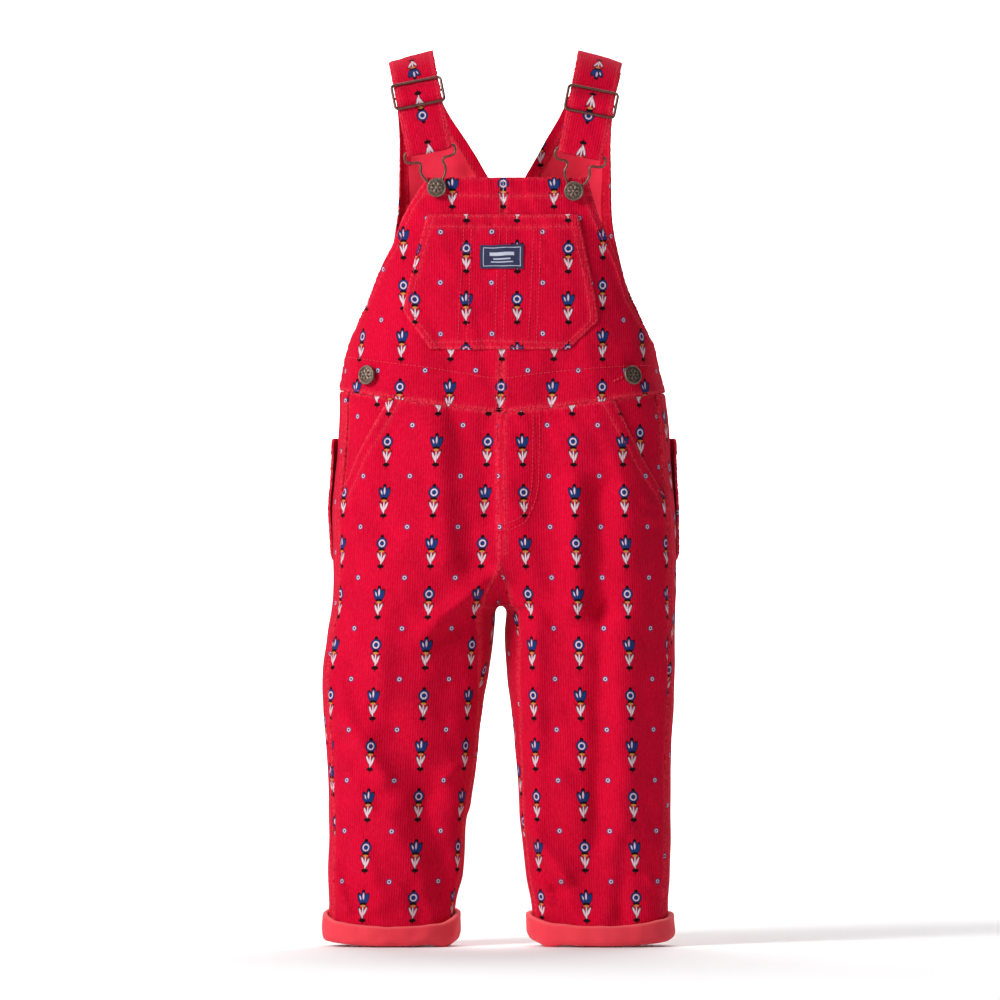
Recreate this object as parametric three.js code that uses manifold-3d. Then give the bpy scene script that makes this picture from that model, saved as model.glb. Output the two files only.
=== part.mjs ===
// Toddler overalls, filled out as if worn: bib, high back, trouser legs, cuffs, straps and fastenings.
// Millimetres, +Z up, the front faces -Y and +X is the viewer's right.
// The origin is under the strap tops, midway between them, where shoulders would carry the straps.

import * as THREE from 'three';
import * as BufferGeometryUtils from 'three/addons/utils/BufferGeometryUtils.js';
import Module from 'manifold-3d';

const wasm = await Module();
wasm.setup();

// Cloth and seams
const CLOTH = 1.8;            // wall of a garment panel
const FACING = 1.0;           // wall of the band inside the neck
const PATCH = 1.4;            // wall of a patch pocket
const LABEL = 1.0;            // wall of the woven label
const SEAM_GAP = 0.3;         // clearance between two sewn pieces
const LAY_GAP = 0.3;          // clearance under a small piece that lies on a panel
const PATCH_GAP = 0.8;        // clearance under a patch pocket, whose faceting differs from the panel's
const HIP_PATCH_GAP = 1.2;    // the same on the rounder seat

// Heights of the main lines
const BACK_TOP = -10;
const BIB_TOP = -94.5;
const NECK_POINT = -116;      // foot of the V neck
const ARMHOLE_FOOT = -222;
const WAIST_FRONT = -277;     // the waist seam dips at centre front
const WAIST_SIDE = { left: -259.7, right: -261.5 };
const WAIST_BACK = -257;
const HIP = -345;             // where the seat curve starts
const FRONT_RISE = -375;      // where the front starts to curve under
const FORK = -399;            // where the inseams leave the centre-front seam
const CROTCH = -427.4;
const CROTCH_Y = 4;
const POCKET_FOOT = -341;     // where the slanted pocket mouth meets the side seam
const LEG_END = -686;         // hem of the leg, inside the cuff
const FULL = 0.58;            // Bezier handle of the body's rounded corners

// A table with named columns: each row starts with its height, heights fall from row to row.
function table(names, rows) {
  const keys = names.split(' ');
  const heights = rows.map((row) => row[0]);
  const last = rows.length - 1;
  const slope = (i, k) => {
    const before = Math.max(i - 1, 0);
    const after = Math.min(i + 1, last);
    return (rows[after][k] - rows[before][k]) / (heights[after] - heights[before]);
  };
  return (z) => {
    let i = 0;
    while (i < last - 1 && z < heights[i + 1]) i += 1;
    const span = heights[i + 1] - heights[i];
    const s = Math.min(Math.max((z - heights[i]) / span, 0), 1);
    const blend = s * s * (3 - 2 * s);
    const leave = s * (1 - s) * (1 - s) * span;
    const arrive = s * s * (s - 1) * span;
    const row = {};
    keys.forEach((key, n) => {
      const k = n + 1;
      row[key] = rows[i][k] * (1 - blend) + rows[i + 1][k] * blend
        + slope(i, k) * leave + slope(i + 1, k) * arrive;
    });
    return row;
  };
}

// Outer form: x of the two side outlines, depth of front and back, x where the flat parts start to round
const BODY = table('left right front back flatLeft flatRight', [
  [-5, -104, 105, 30, 22, -92, 95],
  [-36, -104, 105, 39, 36, -90, 93],
  [-60, -103, 104, 43, 41, -70, 72],
  [-96, -102, 104, 46.5, 46, -42, 44],
  [-140, -103, 105, 50, 50, -36, 38],
  [-165, -105, 106, 51.5, 52, -34, 36],
  [-190, -108.5, 108, 53, 53.5, -34, 36],
  [-210, -115, 114.5, 54, 54.5, -35, 37],
  [-222, -118.8, 118, 54.5, 55, -37, 38],
  [-243, -124, 122.5, 55, 55.5, -40, 42],
  [-262, -126.4, 127, 55.5, 56, -42, 44],
  [-290, -127.2, 130.3, 56, 58, -44, 46],
  [-330, -130.5, 133, 57, 60.5, -48, 50],
  [-355, -132.5, 135.2, 57.5, 61.5, -52, 54],
  [-385, -131.8, 136, 57, 62, -58, 58],
  [-410, -131.8, 136, 56, 60, -64, 62],
  [-427, -132.5, 135.6, 54.5, 57.5, -68, 65],
  [-450, -136.5, 134.9, 51, 53, -72, 68],
  [-484, -140.4, 134.9, 46.5, 47.5, -76, 69.5],
  [-505, -139.6, 134.2, 44, 44.5, -77, 70],
  [-549, -136.5, 131.8, 40, 40, -78, 71],
  [-600, -134.9, 131.8, 37, 37, -79.5, 72],
  [-636, -135.7, 131, 34.5, 34.5, -83, 74],
  [-660, -135, 129.5, 32.5, 32.5, -85.5, 76],
  [-692, -136, 130, 32, 32, -87, 77.5],
]);

// Centre seams of front and back
const CENTRE = table('front back', [
  [-94.5, 0.9, 4.5],
  [-138, 0.9, 4.5],
  [-200, 0.6, 3],
  [-262, -1, 0],
  [-290, -3.5, -0.5],
  [-360, -3.2, -1],
  [-427.4, -1.6, -1.6],
]);

// Inner outline of each leg below the crotch
const LEG_INNER = table('left right', [
  [-427.4, -5.2, 3.4],
  [-450, -6.2, 2.3],
  [-484, -10.9, 3.9],
  [-505, -14.8, 6.8],
  [-549, -19.5, 10.9],
  [-582, -24.5, 13.4],
  [-593, -27.3, 14],
  [-636, -30.4, 18.4],
  [-660, -35.9, 22.6],
  [-692, -38, 25.5],
]);

// How far the inseam lies outside the inner outline, so that the back leg shows between the legs
const INSEAM_INSET = table('left right', [
  [-399, 0.2, 0.2],
  [-405, 3, 3],
  [-415, 9, 6],
  [-427, 12.5, 8.5],
  [-455, 10, 10.5],
  [-484, 6, 8.5],
  [-505, 2.8, 6.5],
  [-549, 2, 4],
  [-600, 2, 2.5],
  [-692, 2, 2.5],
]);

// How far the side seam lies inside the side outline
const SIDE_INSET = table('left right', [
  [-262, 6, 6.5],
  [-360, 6, 7],
  [-450, 5, 5.5],
  [-692, 4.5, 4.7],
]);

// Side edge of the front bib and of the back bib (armholes), inner edge of the V neck, pocket mouth
const BIB_EDGE = table('left right', [
  [-94.5, -58.5, 66.3],
  [-121.7, -75.7, 74.5],
  [-147.4, -86.1, 86],
  [-164.6, -95.2, 93.5],
  [-188.8, -104.5, 100],
  [-210.6, -114.4, 111],
  [-222, -118.7, 117],
  [-262, -126, 126.6],
]);
const ARMHOLE = table('left right', [
  [-10, -87, 93],
  [-45, -81.5, 86.6],
  [-100, -81.2, 86.2],
  [-130, -83.5, 87.6],
  [-156, -88.5, 92.8],
  [-178, -97.5, 98.6],
  [-200, -108, 108],
  [-222, -118.7, 117.9],
]);
const POCKET_MOUTH = table('left right', [
  [-262, -86, 85],
  [-283.9, -99, 96],
  [-311.2, -113.5, 109.2],
  [-341, -125.4, 127],
]);
const NECK = table('left right', [
  [-10, -56, 60],
  [-40, -43, 47.2],
  [-66, -26, 32.5],
  [-92.7, -10, 17.5],
  [-116, 4.5, 4.5],
]);

// Largest folds: a soft trough (negative) or ridge between two points, seen from the front or the back
const FOLDS = [
  { face: 'front', x0: -37, z0: -284, x1: -25, z1: -392, width: 15, rise: -4 },
  { face: 'front', x0: 35, z0: -292, x1: 40, z1: -420, width: 15, rise: -4 },
  { face: 'front', x0: -14, z0: -410, x1: -58, z1: -448, width: 11, rise: 4 },
  { face: 'front', x0: -40, z0: -470, x1: -52, z1: -560, width: 13, rise: -3 },
  { face: 'front', x0: 74, z0: -425, x1: 72, z1: -650, width: 13, rise: -3.5 },
  { face: 'front', x0: 42, z0: -445, x1: 40, z1: -545, width: 12, rise: -3 },
  { face: 'front', x0: -118, z0: -650, x1: -128, z1: -618, width: 9, rise: -3 },
  { face: 'back', x0: -22, z0: -290, x1: -34, z1: -400, width: 15, rise: -4 },
  { face: 'back', x0: 30, z0: -300, x1: 44, z1: -415, width: 15, rise: -4 },
  { face: 'back', x0: -62, z0: -440, x1: -84, z1: -560, width: 14, rise: -3.5 },
  { face: 'back', x0: 52, z0: -450, x1: 70, z1: -580, width: 14, rise: -3.5 },
  { face: 'back', x0: -60, z0: -600, x1: -110, z1: -640, width: 11, rise: -3 },
];

const mix = (a, b, s) => a + (b - a) * s;
const clamp = (value, low, high) => Math.min(Math.max(value, low), high);
const pick = (side, row) => (side < 0 ? row.left : row.right);

function bezier(a, b, c, d, s) {
  const r = 1 - s;
  return r * r * r * a + 3 * r * r * s * b + 3 * r * s * s * c + s * s * s * d;
}

// A rounded corner that leaves (x0, y0) along y and arrives at (x1, y1) along x
function corner(x0, y0, x1, y1, s) {
  return [
    bezier(x0, x0, mix(x1, x0, FULL), x1, s),
    bezier(y0, mix(y0, y1, FULL), y1, y1, s),
  ];
}

// 0 above the start of a rise, 1 at the crotch: a quarter of an ellipse
function underCurve(z, start) {
  const s = clamp((start - z) / (start - CROTCH), 0, 1);
  return 1 - Math.sqrt(1 - s * s);
}

function innerX(side, z, centre) {
  if (z >= CROTCH) return centre + side * SEAM_GAP / 2;
  const arch = clamp((CROTCH - z) / 6, 0, 1);
  const open = Math.sqrt(1 - (1 - arch) * (1 - arch));
  return mix(centre + side * SEAM_GAP / 2, pick(side, LEG_INNER(z)), open);
}

// Outline of one half at a height. t runs 0 centre front, 1 front, 2 side, 3 back, 4 centre back.
// Below the crotch the half is a closed leg, and t = 4 is t = 0 again.
function outline(side, t, z) {
  const body = BODY(z);
  const reach = pick(side, body);
  const flat = side < 0 ? body.flatLeft : body.flatRight;
  const centre = CENTRE(z);
  const around = z < CROTCH ? ((t % 4) + 4) % 4 : clamp(t, 0, 4);
  const quarter = Math.min(Math.floor(around), 3);
  const s = around - quarter;
  if (quarter === 0) {
    const y = mix(-body.front, CROTCH_Y, underCurve(z, FRONT_RISE));
    return corner(innerX(side, z, centre.front), y, flat, -body.front, s);
  }
  if (quarter === 1) return corner(reach, 0, flat, -body.front, 1 - s);
  if (quarter === 2) return corner(reach, 0, flat, body.back, s);
  const y = mix(body.back, CROTCH_Y, underCurve(z, HIP));
  return corner(innerX(side, z, centre.back), y, flat, body.back, 1 - s);
}

// Soft folds move the cloth in depth only, and fade where it turns away from the viewer
function foldDepth(t, x, z) {
  const face = t < 2 ? 'front' : 'back';
  const inward = t < 2 ? t : 4 - t;
  const under = z < CROTCH ? 1 : underCurve(z, t < 2 ? FRONT_RISE : HIP);
  const fade = clamp((2 - inward) / 0.5, 0, 1) * mix(1, clamp(inward / 0.5, 0, 1), under);
  let depth = 0;
  for (const fold of FOLDS) {
    if (fold.face !== face) continue;
    const dx = fold.x1 - fold.x0;
    const dz = fold.z1 - fold.z0;
    const along = clamp(((x - fold.x0) * dx + (z - fold.z0) * dz) / (dx * dx + dz * dz), 0, 1);
    const off = Math.hypot(x - fold.x0 - along * dx, z - fold.z0 - along * dz) / fold.width;
    depth += fold.rise * Math.exp(-off * off) * fade;
  }
  return face === 'front' ? -depth : depth;
}

// The hems lean: each hangs lowest at the front, higher at the side and highest at the back
const HEM_LEAN = { start: -640, reach: 34, side: 5, back: 3.5 };
function hemLift(y, z) {
  const s = clamp((HEM_LEAN.start - z) / (HEM_LEAN.start - LEG_END), 0, 1);
  const lift = HEM_LEAN.side * clamp(y / HEM_LEAN.reach + 1, 0, 1)
    + HEM_LEAN.back * clamp(y / HEM_LEAN.reach, 0, 1);
  return lift * s * s * (3 - 2 * s);
}

function surface(side, t, z) {
  const [x, y] = outline(side, t, z);
  const around = z < CROTCH ? ((t % 4) + 4) % 4 : clamp(t, 0, 4);
  return new THREE.Vector3(x, y + foldDepth(around, x, z), z + hemLift(y, z));
}

function normal(side, t, z) {
  const dt = 0.02;
  const high = z < CROTCH ? Math.min(z + 0.5, CROTCH - 1e-6) : z + 0.5;
  const low = z < CROTCH ? z - 0.5 : Math.max(z - 0.5, CROTCH);
  const along = surface(side, t + dt, z).sub(surface(side, t - dt, z));
  const up = surface(side, t, high).sub(surface(side, t, low));
  return along.cross(up).multiplyScalar(side).normalize();
}

// A point of the cloth's outer face, moved out (or in, below 0) along its normal
function skin(side, t, z, out = 0) {
  const point = surface(side, t, z);
  return out === 0 ? point : point.addScaledVector(normal(side, t, z), out);
}

// Place along the outline where the front (or back) has a given x
function placeAtX(side, x, z, face = 'front') {
  let centre = face === 'front' ? 0 : 4;
  let edge = 2;
  for (let step = 0; step < 30; step += 1) {
    const middle = (centre + edge) / 2;
    if (outline(side, middle, z)[0] * side < x * side) centre = middle;
    else edge = middle;
  }
  return (centre + edge) / 2;
}

// Moves a place along the outline by a distance
function shift(side, t, z, distance) {
  const dt = 0.02;
  const [x0, y0] = outline(side, t - dt, z);
  const [x1, y1] = outline(side, t + dt, z);
  return t + distance * 2 * dt / Math.max(Math.hypot(x1 - x0, y1 - y0), 1e-3);
}

// Places evenly spaced by length between two places at one height
function evenPlaces(side, z, from, to, cells) {
  const fine = 48;
  const lengths = [0];
  let previous = outline(side, from, z);
  for (let i = 1; i <= fine; i += 1) {
    const point = outline(side, mix(from, to, i / fine), z);
    lengths.push(lengths[i - 1] + Math.hypot(point[0] - previous[0], point[1] - previous[1]));
    previous = point;
  }
  const places = [];
  let k = 0;
  for (let j = 0; j <= cells; j += 1) {
    const target = lengths[fine] * j / cells;
    while (k < fine - 1 && lengths[k + 1] < target) k += 1;
    const s = (target - lengths[k]) / (lengths[k + 1] - lengths[k]);
    places.push(mix(from, to, (k + clamp(s, 0, 1)) / fine));
  }
  return places;
}

// Named lines on the cloth
const sideSeam = (side, z) => {
  const x = pick(side, BODY(z)) - side * pick(side, SIDE_INSET(z));
  return placeAtX(side, x, z);
};
const pocketMouth = (side, z) => placeAtX(side, pick(side, POCKET_MOUTH(z)), z);
const inseam = (side, z) => {
  const start = outline(side, 0, z)[0];
  return placeAtX(side, start + side * pick(side, INSEAM_INSET(z)), z);
};
const bibEdge = (side, z) => {
  const closed = shift(side, 2, z, -SEAM_GAP);
  return z <= ARMHOLE_FOOT ? closed : Math.min(placeAtX(side, pick(side, BIB_EDGE(z)), z), closed);
};
const backEdge = (side, z) => {
  if (z <= ARMHOLE_FOOT) return shift(side, 2, z, SEAM_GAP);
  return Math.max(placeAtX(side, pick(side, ARMHOLE(z)), z, 'back'), 2.005);
};
const neckX = (side, z) => pick(side, NECK(z));
const neckEdge = (side, z) => (z > NECK_POINT + 1
  ? placeAtX(side, neckX(side, z), z, 'back') : 4);

// Height of the waist seam, which is nearly straight from the side to each centre
function waist(side, t) {
  const level = pick(side, WAIST_SIDE);
  const across = clamp(outline(side, t, level)[0] / pick(side, BODY(level)), 0, 1);
  return t < 2 ? mix(WAIST_FRONT, level, across ** 1.15) : mix(WAIST_BACK, level, across);
}

// Rows of a panel between two seam lines. top and bottom give the height at a place t,
// from and to give the panel's side edges at a height.
function panelRows(side, shares, cells, { top, bottom, from, to }) {
  return shares.map((share) => {
    const heightAt = (t) => mix(top(t), bottom(t), share);
    const settle = (edge, guess) => {
      let t = guess;
      for (let step = 0; step < 4; step += 1) t = edge(heightAt(t));
      return t;
    };
    const start = settle(from, 0.5);
    const end = settle(to, 1.5);
    const middle = heightAt((start + end) / 2);
    return evenPlaces(side, middle, start, end, cells).map((t) => ({ t, z: heightAt(t) }));
  });
}

const evenShares = (cells) => Array.from({ length: cells + 1 }, (unused, i) => i / cells);

// A sheet is a list of points with outward normals and a list of four-sided cells
function sheetFromRows(side, rows, out = () => 0) {
  const sheet = { points: [], normals: [], cells: [] };
  const width = rows[0].length;
  rows.forEach((row, i) => row.forEach(({ t, z }, j) => {
    sheet.points.push(skin(side, t, z, out(i / (rows.length - 1), j / (width - 1))));
    sheet.normals.push(normal(side, t, z));
  }));
  for (let i = 0; i + 1 < rows.length; i += 1) {
    for (let j = 0; j + 1 < width; j += 1) {
      const a = i * width + j;
      addCell(sheet, side, [a, a + width, a + width + 1, a + 1]);
    }
  }
  return sheet;
}

function addCell(sheet, side, cell) {
  sheet.cells.push(side < 0 ? [...cell].reverse() : cell);
}

// Doubles a sheet inwards and closes its rim
function wall(sheet, thickness) {
  const count = sheet.points.length;
  const positions = [];
  sheet.points.forEach((point) => positions.push(point.x, point.y, point.z));
  sheet.points.forEach((point, i) => {
    const inner = point.clone().addScaledVector(sheet.normals[i], -thickness);
    positions.push(inner.x, inner.y, inner.z);
  });
  const index = [];
  const quad = (a, b, c, d) => index.push(a, b, c, a, c, d);
  const edges = new Set();
  for (const cell of sheet.cells) {
    cell.forEach((a, n) => edges.add(`${a}>${cell[(n + 1) % 4]}`));
  }
  for (const cell of sheet.cells) {
    const [a, b, c, d] = cell;
    quad(a, b, c, d);
    quad(d + count, c + count, b + count, a + count);
    cell.forEach((from, n) => {
      const to = cell[(n + 1) % 4];
      if (!edges.has(`${to}>${from}`)) quad(to, from, from + count, to + count);
    });
  }
  return indexed(positions, index);
}

function indexed(positions, index) {
  const geometry = new THREE.BufferGeometry();
  geometry.setAttribute('position', new THREE.Float32BufferAttribute(positions, 3));
  geometry.setIndex(index);
  geometry.computeVertexNormals();
  return geometry;
}

// Finish of each kind of piece
const CORDUROY = { color: 0xcc0a30, roughness: 0.85, metalness: 0 };
const CORAL = { color: 0xe04a50, roughness: 0.8, metalness: 0 };
const NAVY = { color: 0x2c2f4e, roughness: 0.7, metalness: 0 };
const OLD_BRASS = { color: 0x6b5b50, roughness: 0.45, metalness: 0.9 };

const garment = new THREE.Group();

function addPiece(name, geometry, finish) {
  const mesh = new THREE.Mesh(geometry, new THREE.MeshStandardMaterial(finish));
  mesh.name = name;
  garment.add(mesh);
  return mesh;
}

const SIDES = [{ side: -1, name: 'left' }, { side: 1, name: 'right' }];

// Front bib half: from the centre seam to the armhole and the side opening
function bib(side) {
  const rows = panelRows(side, evenShares(11), 8, {
    top: () => BIB_TOP,
    bottom: (t) => waist(side, t) + SEAM_GAP,
    from: () => 0,
    to: (z) => bibEdge(side, z),
  });
  return wall(sheetFromRows(side, rows), CLOTH);
}

// Back bib half: from the armhole to the V neck and the centre seam
function backBib(side) {
  const rows = panelRows(side, evenShares(16), 7, {
    top: () => BACK_TOP,
    bottom: (t) => waist(side, t) + SEAM_GAP,
    from: (z) => backEdge(side, z),
    to: (z) => neckEdge(side, z),
  });
  return wall(sheetFromRows(side, rows), CLOTH);
}

// Band inside the V neck, from below the strap's end
const FACING_TOP = -34;
const FACING_GAP = 0.6;       // clearance behind the panel, whose faceting differs from the band's
const FACING_WIDTH = table('width', [[-34, 5], [-46, 9], [-116, 9]]);
function backFacing(side) {
  const heights = evenShares(9).map((share) => mix(FACING_TOP, NECK_POINT + 3, share));
  const rows = heights.map((z) => {
    const inner = neckEdge(side, z);
    const outer = placeAtX(side, neckX(side, z) + side * FACING_WIDTH(z).width, z, 'back');
    return [{ t: outer, z }, { t: inner, z }];
  });
  return wall(sheetFromRows(side, rows, () => -CLOTH - FACING_GAP), FACING);
}

// Heights of the leg rows from the crotch down, close together where the legs part
const LEG_ROWS = [-428.6, -430.6, -434, -440, -450];
for (let i = 1; i <= 13; i += 1) LEG_ROWS.push(mix(-450, LEG_END, i / 13));
const SEAT_ROWS = Array.from({ length: 8 }, (unused, i) => (
  mix(HIP, CROTCH, Math.sin((i + 1) * Math.PI / 16))));
const TOP_SHARES = evenShares(6);

function frontLeg(side) {
  const outer = (z) => (z > POCKET_FOOT ? pocketMouth(side, z)
    : shift(side, sideSeam(side, z), z, -SEAM_GAP / 2));
  const inner = (z) => (z > FORK ? 0 : shift(side, inseam(side, z), z, SEAM_GAP / 2));
  const rows = panelRows(side, TOP_SHARES, 8, {
    top: (t) => waist(side, t) - SEAM_GAP,
    bottom: () => HIP,
    from: inner,
    to: outer,
  });
  for (const z of [...SEAT_ROWS, ...LEG_ROWS]) {
    rows.push(evenPlaces(side, z, inner(z), outer(z), 8).map((t) => ({ t, z })));
  }
  return wall(sheetFromRows(side, rows), CLOTH);
}

// Hip side, seen inside the pocket mouth
function sidePanel(side) {
  const rows = panelRows(side, evenShares(5), 3, {
    top: (t) => waist(side, t) - SEAM_GAP,
    bottom: () => POCKET_FOOT + 4,
    from: (z) => shift(side, pocketMouth(side, z), z, SEAM_GAP),
    to: (z) => shift(side, sideSeam(side, z), z, -SEAM_GAP / 2),
  });
  return wall(sheetFromRows(side, rows, () => -0.8), CLOTH);
}

// Back leg: above the crotch it ends at the centre-back seam, below it goes on round the inner leg
// to the inseam, and a tongue of it comes up in front between the crotch and the fork.
function backLeg(side) {
  const BACK_CELLS = 12;
  const TONGUE_CELLS = 2;
  const sheet = { points: [], normals: [], cells: [] };
  const addRow = (places) => places.map(({ t, z }) => {
    sheet.points.push(skin(side, t, z));
    sheet.normals.push(normal(side, t, z));
    return sheet.points.length - 1;
  });
  const join = (upper, lower) => {
    for (let j = 0; j + 1 < upper.length; j += 1) {
      addCell(sheet, side, [upper[j], lower[j], lower[j + 1], upper[j + 1]]);
    }
  };
  const outer = (z) => shift(side, sideSeam(side, z), z, SEAM_GAP / 2);
  const inner = (z) => shift(side, inseam(side, z), z, -SEAM_GAP);
  const at = (z, from, to, cells) => evenPlaces(side, z, from, to, cells).map((t) => ({ t, z }));

  const top = panelRows(side, TOP_SHARES, BACK_CELLS, {
    top: (t) => waist(side, t) - SEAM_GAP,
    bottom: () => HIP,
    from: outer,
    to: () => 4,
  });
  let previous = null;
  for (const row of top) {
    const next = addRow(row);
    if (previous) join(previous, next);
    previous = next;
  }
  let tongue = null;
  for (const z of SEAT_ROWS) {
    const next = addRow(at(z, outer(z), 4, BACK_CELLS));
    join(previous, next);
    previous = next;
    if (z > FORK - 4) continue;
    const atCrotch = z === SEAT_ROWS[SEAT_ROWS.length - 1];
    const places = at(z, 0, inner(z), TONGUE_CELLS);
    const front = atCrotch ? [next[BACK_CELLS], ...addRow(places.slice(1))] : addRow(places);
    if (tongue) join(tongue, front);
    tongue = front;
  }
  previous = [...previous, ...tongue.slice(1)];
  for (const z of LEG_ROWS) {
    const back = at(z, outer(z), 4, BACK_CELLS);
    const front = at(z, 4, 4 + inner(z), TONGUE_CELLS).slice(1);
    const next = addRow([...back, ...front]);
    join(previous, next);
    previous = next;
  }
  return wall(sheet, CLOTH);
}

// Turned-up cuff: a U-shaped section (distance out from the leg, height) run round the hem
const CUFF_SECTION = [
  [0.5, -671], [2.6, -669.4], [4.6, -670.4], [4.9, -680], [4.6, -689],
  [2.6, -691.6], [-2, -691.6], [-5, -689.6], [-5, -678], [-3.3, -678], [-3.3, -688.2], [0.5, -688.2],
];
const CUFF_FOOT = -691.5;
// Share of the section's height that the cuff has at its front, and at its side and back
const CUFF_HEIGHT = { left: [0.66, 0.98], right: [0.7, 0.92] };
function cuff(side) {
  const around = 36;
  const [low, high] = pick(side, CUFF_HEIGHT);
  const positions = [];
  const index = [];
  const height = -680;
  const places = evenPlaces(side, height, 0, 4, around);
  for (let i = 0; i < around; i += 1) {
    const t = places[i];
    const before = outline(side, t - 0.02, height);
    const after = outline(side, t + 0.02, height);
    const along = new THREE.Vector2(after[0] - before[0], after[1] - before[1]).normalize();
    for (const [out, level] of CUFF_SECTION) {
      const [x, y] = outline(side, t, level);
      const share = mix(low, high, clamp(y / HEM_LEAN.reach + 1, 0, 1));
      const z = CUFF_FOOT + (level - CUFF_FOOT) * share + hemLift(y, LEG_END);
      positions.push(x + side * along.y * out, y - side * along.x * out, z);
    }
  }
  const ring = CUFF_SECTION.length;
  for (let i = 0; i < around; i += 1) {
    for (let j = 0; j < ring; j += 1) {
      const a = i * ring + j;
      const b = ((i + 1) % around) * ring + j;
      const c = ((i + 1) % around) * ring + (j + 1) % ring;
      const d = i * ring + (j + 1) % ring;
      if (side > 0) index.push(a, d, c, a, c, b);
      else index.push(a, c, d, a, b, c);
    }
  }
  return indexed(positions, index);
}

// A patch on the front, given by its side edges at each height, spanning both halves
function frontPatch(edges, cells, out, thickness) {
  const sheet = { points: [], normals: [], cells: [] };
  for (const { z, left, right } of edges) {
    for (let j = 0; j <= cells; j += 1) {
      const x = mix(left, right, j / cells);
      const side = x < CENTRE(z).front ? -1 : 1;
      const t = placeAtX(side, x, z);
      sheet.points.push(skin(side, t, z, out));
      sheet.normals.push(normal(side, t, z));
    }
  }
  for (let i = 0; i + 1 < edges.length; i += 1) {
    for (let j = 0; j < cells; j += 1) {
      const a = i * (cells + 1) + j;
      sheet.cells.push([a, a + cells + 1, a + cells + 2, a + 1]);
    }
  }
  return wall(sheet, thickness);
}

const BIB_POCKET = [
  { z: -123.5, left: -57.7, right: 58.4 },
  { z: -148, left: -64.5, right: 63.6 },
  { z: -172, left: -70.8, right: 68.8 },
  { z: -198, left: -76.4, right: 73.6 },
  { z: -206, left: -71.5, right: 74.1 },
  { z: -217, left: -63.5, right: 63 },
  { z: -228, left: -55.5, right: 51.5 },
];
const LABEL_EDGES = [
  { z: -147.4, left: -16.6, right: 16.6 },
  { z: -156.5, left: -16.8, right: 16.4 },
  { z: -165.6, left: -17, right: 16.2 },
];

// Back pocket: side edges as places along the outline at each height
const BACK_POCKET = [
  { z: -297, outer: 1.985, inner: 2.9 },
  { z: -317, outer: 1.99, inner: 2.895 },
  { z: -338, outer: 1.995, inner: 2.89 },
  { z: -360, outer: 2.0, inner: 2.885 },
  { z: -376, outer: 2.005, inner: 2.882 },
  { z: -386, outer: 2.04, inner: 2.85 },
  { z: -397, outer: 2.22, inner: 2.7 },
];
const POCKET_FLARE = 2.4;     // how far the outer top corner stands off the hip
function backPocket(side) {
  const cells = 7;
  const rows = BACK_POCKET.map(({ z, outer, inner }) => (
    evenPlaces(side, z, outer, inner, cells).map((t) => ({ t, z }))));
  const stand = (down, across) => {
    const flare = POCKET_FLARE * Math.max(1 - down / 0.8, 0) * Math.max(1 - across / 0.35, 0);
    return HIP_PATCH_GAP + PATCH + flare;
  };
  return wall(sheetFromRows(side, rows, stand), PATCH);
}

// Straps. Each lies in a leaning plane: h runs up the plane from the origin's height, w across the strap.
const STRAP = { width: 35, thickness: 1.8, lean: THREE.MathUtils.degToRad(11.2) };
const STRAP_TOP_X = { left: -71, right: 76.4 };
const WIRE_HOOK = 1.0;        // radius of the hook's wire
const WIRE_SLIDER = 1.1;      // radius of the slider's frame wire
const WIRE_BAR = 0.9;         // radius of the slider's centre bar
const SLIDER = { halfWidth: 19.4, halfHeight: 10, corner: 2.6, lift: 2.3, bar: -0.8 };
const SLIDER_DROP = { left: -30.4, right: -36.9 };
const HOOK_DROP = { left: -74.2, right: -77.3 };
const HOOK_INSET = -1.1;      // the hook's bar lies inside the strap's front layer

// Middle of the strap's cloth from inside the back top, over the shoulder and down to the hook (y, h)
const STRAP_ROUTE = new THREE.CatmullRomCurve3([
  [29.2, -32.2], [25.2, -23.4], [20.3, -14.2], [15.8, -6.8], [9, -1.1], [0, 0.9], [-12, -1.4],
  [-24, -7], [-34, -16], [-40.8, -27], [-45.5, -42], [-48.9, -58], [-50.2, -73], [-50.4, -84],
].map(([y, h]) => new THREE.Vector3(0, y, h)), false, 'centripetal');
const ROUTE_LENGTH = STRAP_ROUTE.getLength();

// A point at a length along the route, moved off it towards the outside
function offRoute(length, off) {
  const share = clamp(length / ROUTE_LENGTH, 0, 1);
  const point = STRAP_ROUTE.getPointAt(share);
  const tangent = STRAP_ROUTE.getTangentAt(share);
  const past = length - share * ROUTE_LENGTH;
  return {
    y: point.y + tangent.y * past + tangent.z * off,
    h: point.z + tangent.z * past - tangent.y * off,
    tangent,
  };
}

// Length along the route where it passes a height on its way down the front
function lengthAtDrop(drop) {
  let low = ROUTE_LENGTH / 2;
  let high = ROUTE_LENGTH;
  for (let step = 0; step < 30; step += 1) {
    const middle = (low + high) / 2;
    if (offRoute(middle, 0).h > drop) low = middle;
    else high = middle;
  }
  return low;
}

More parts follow.
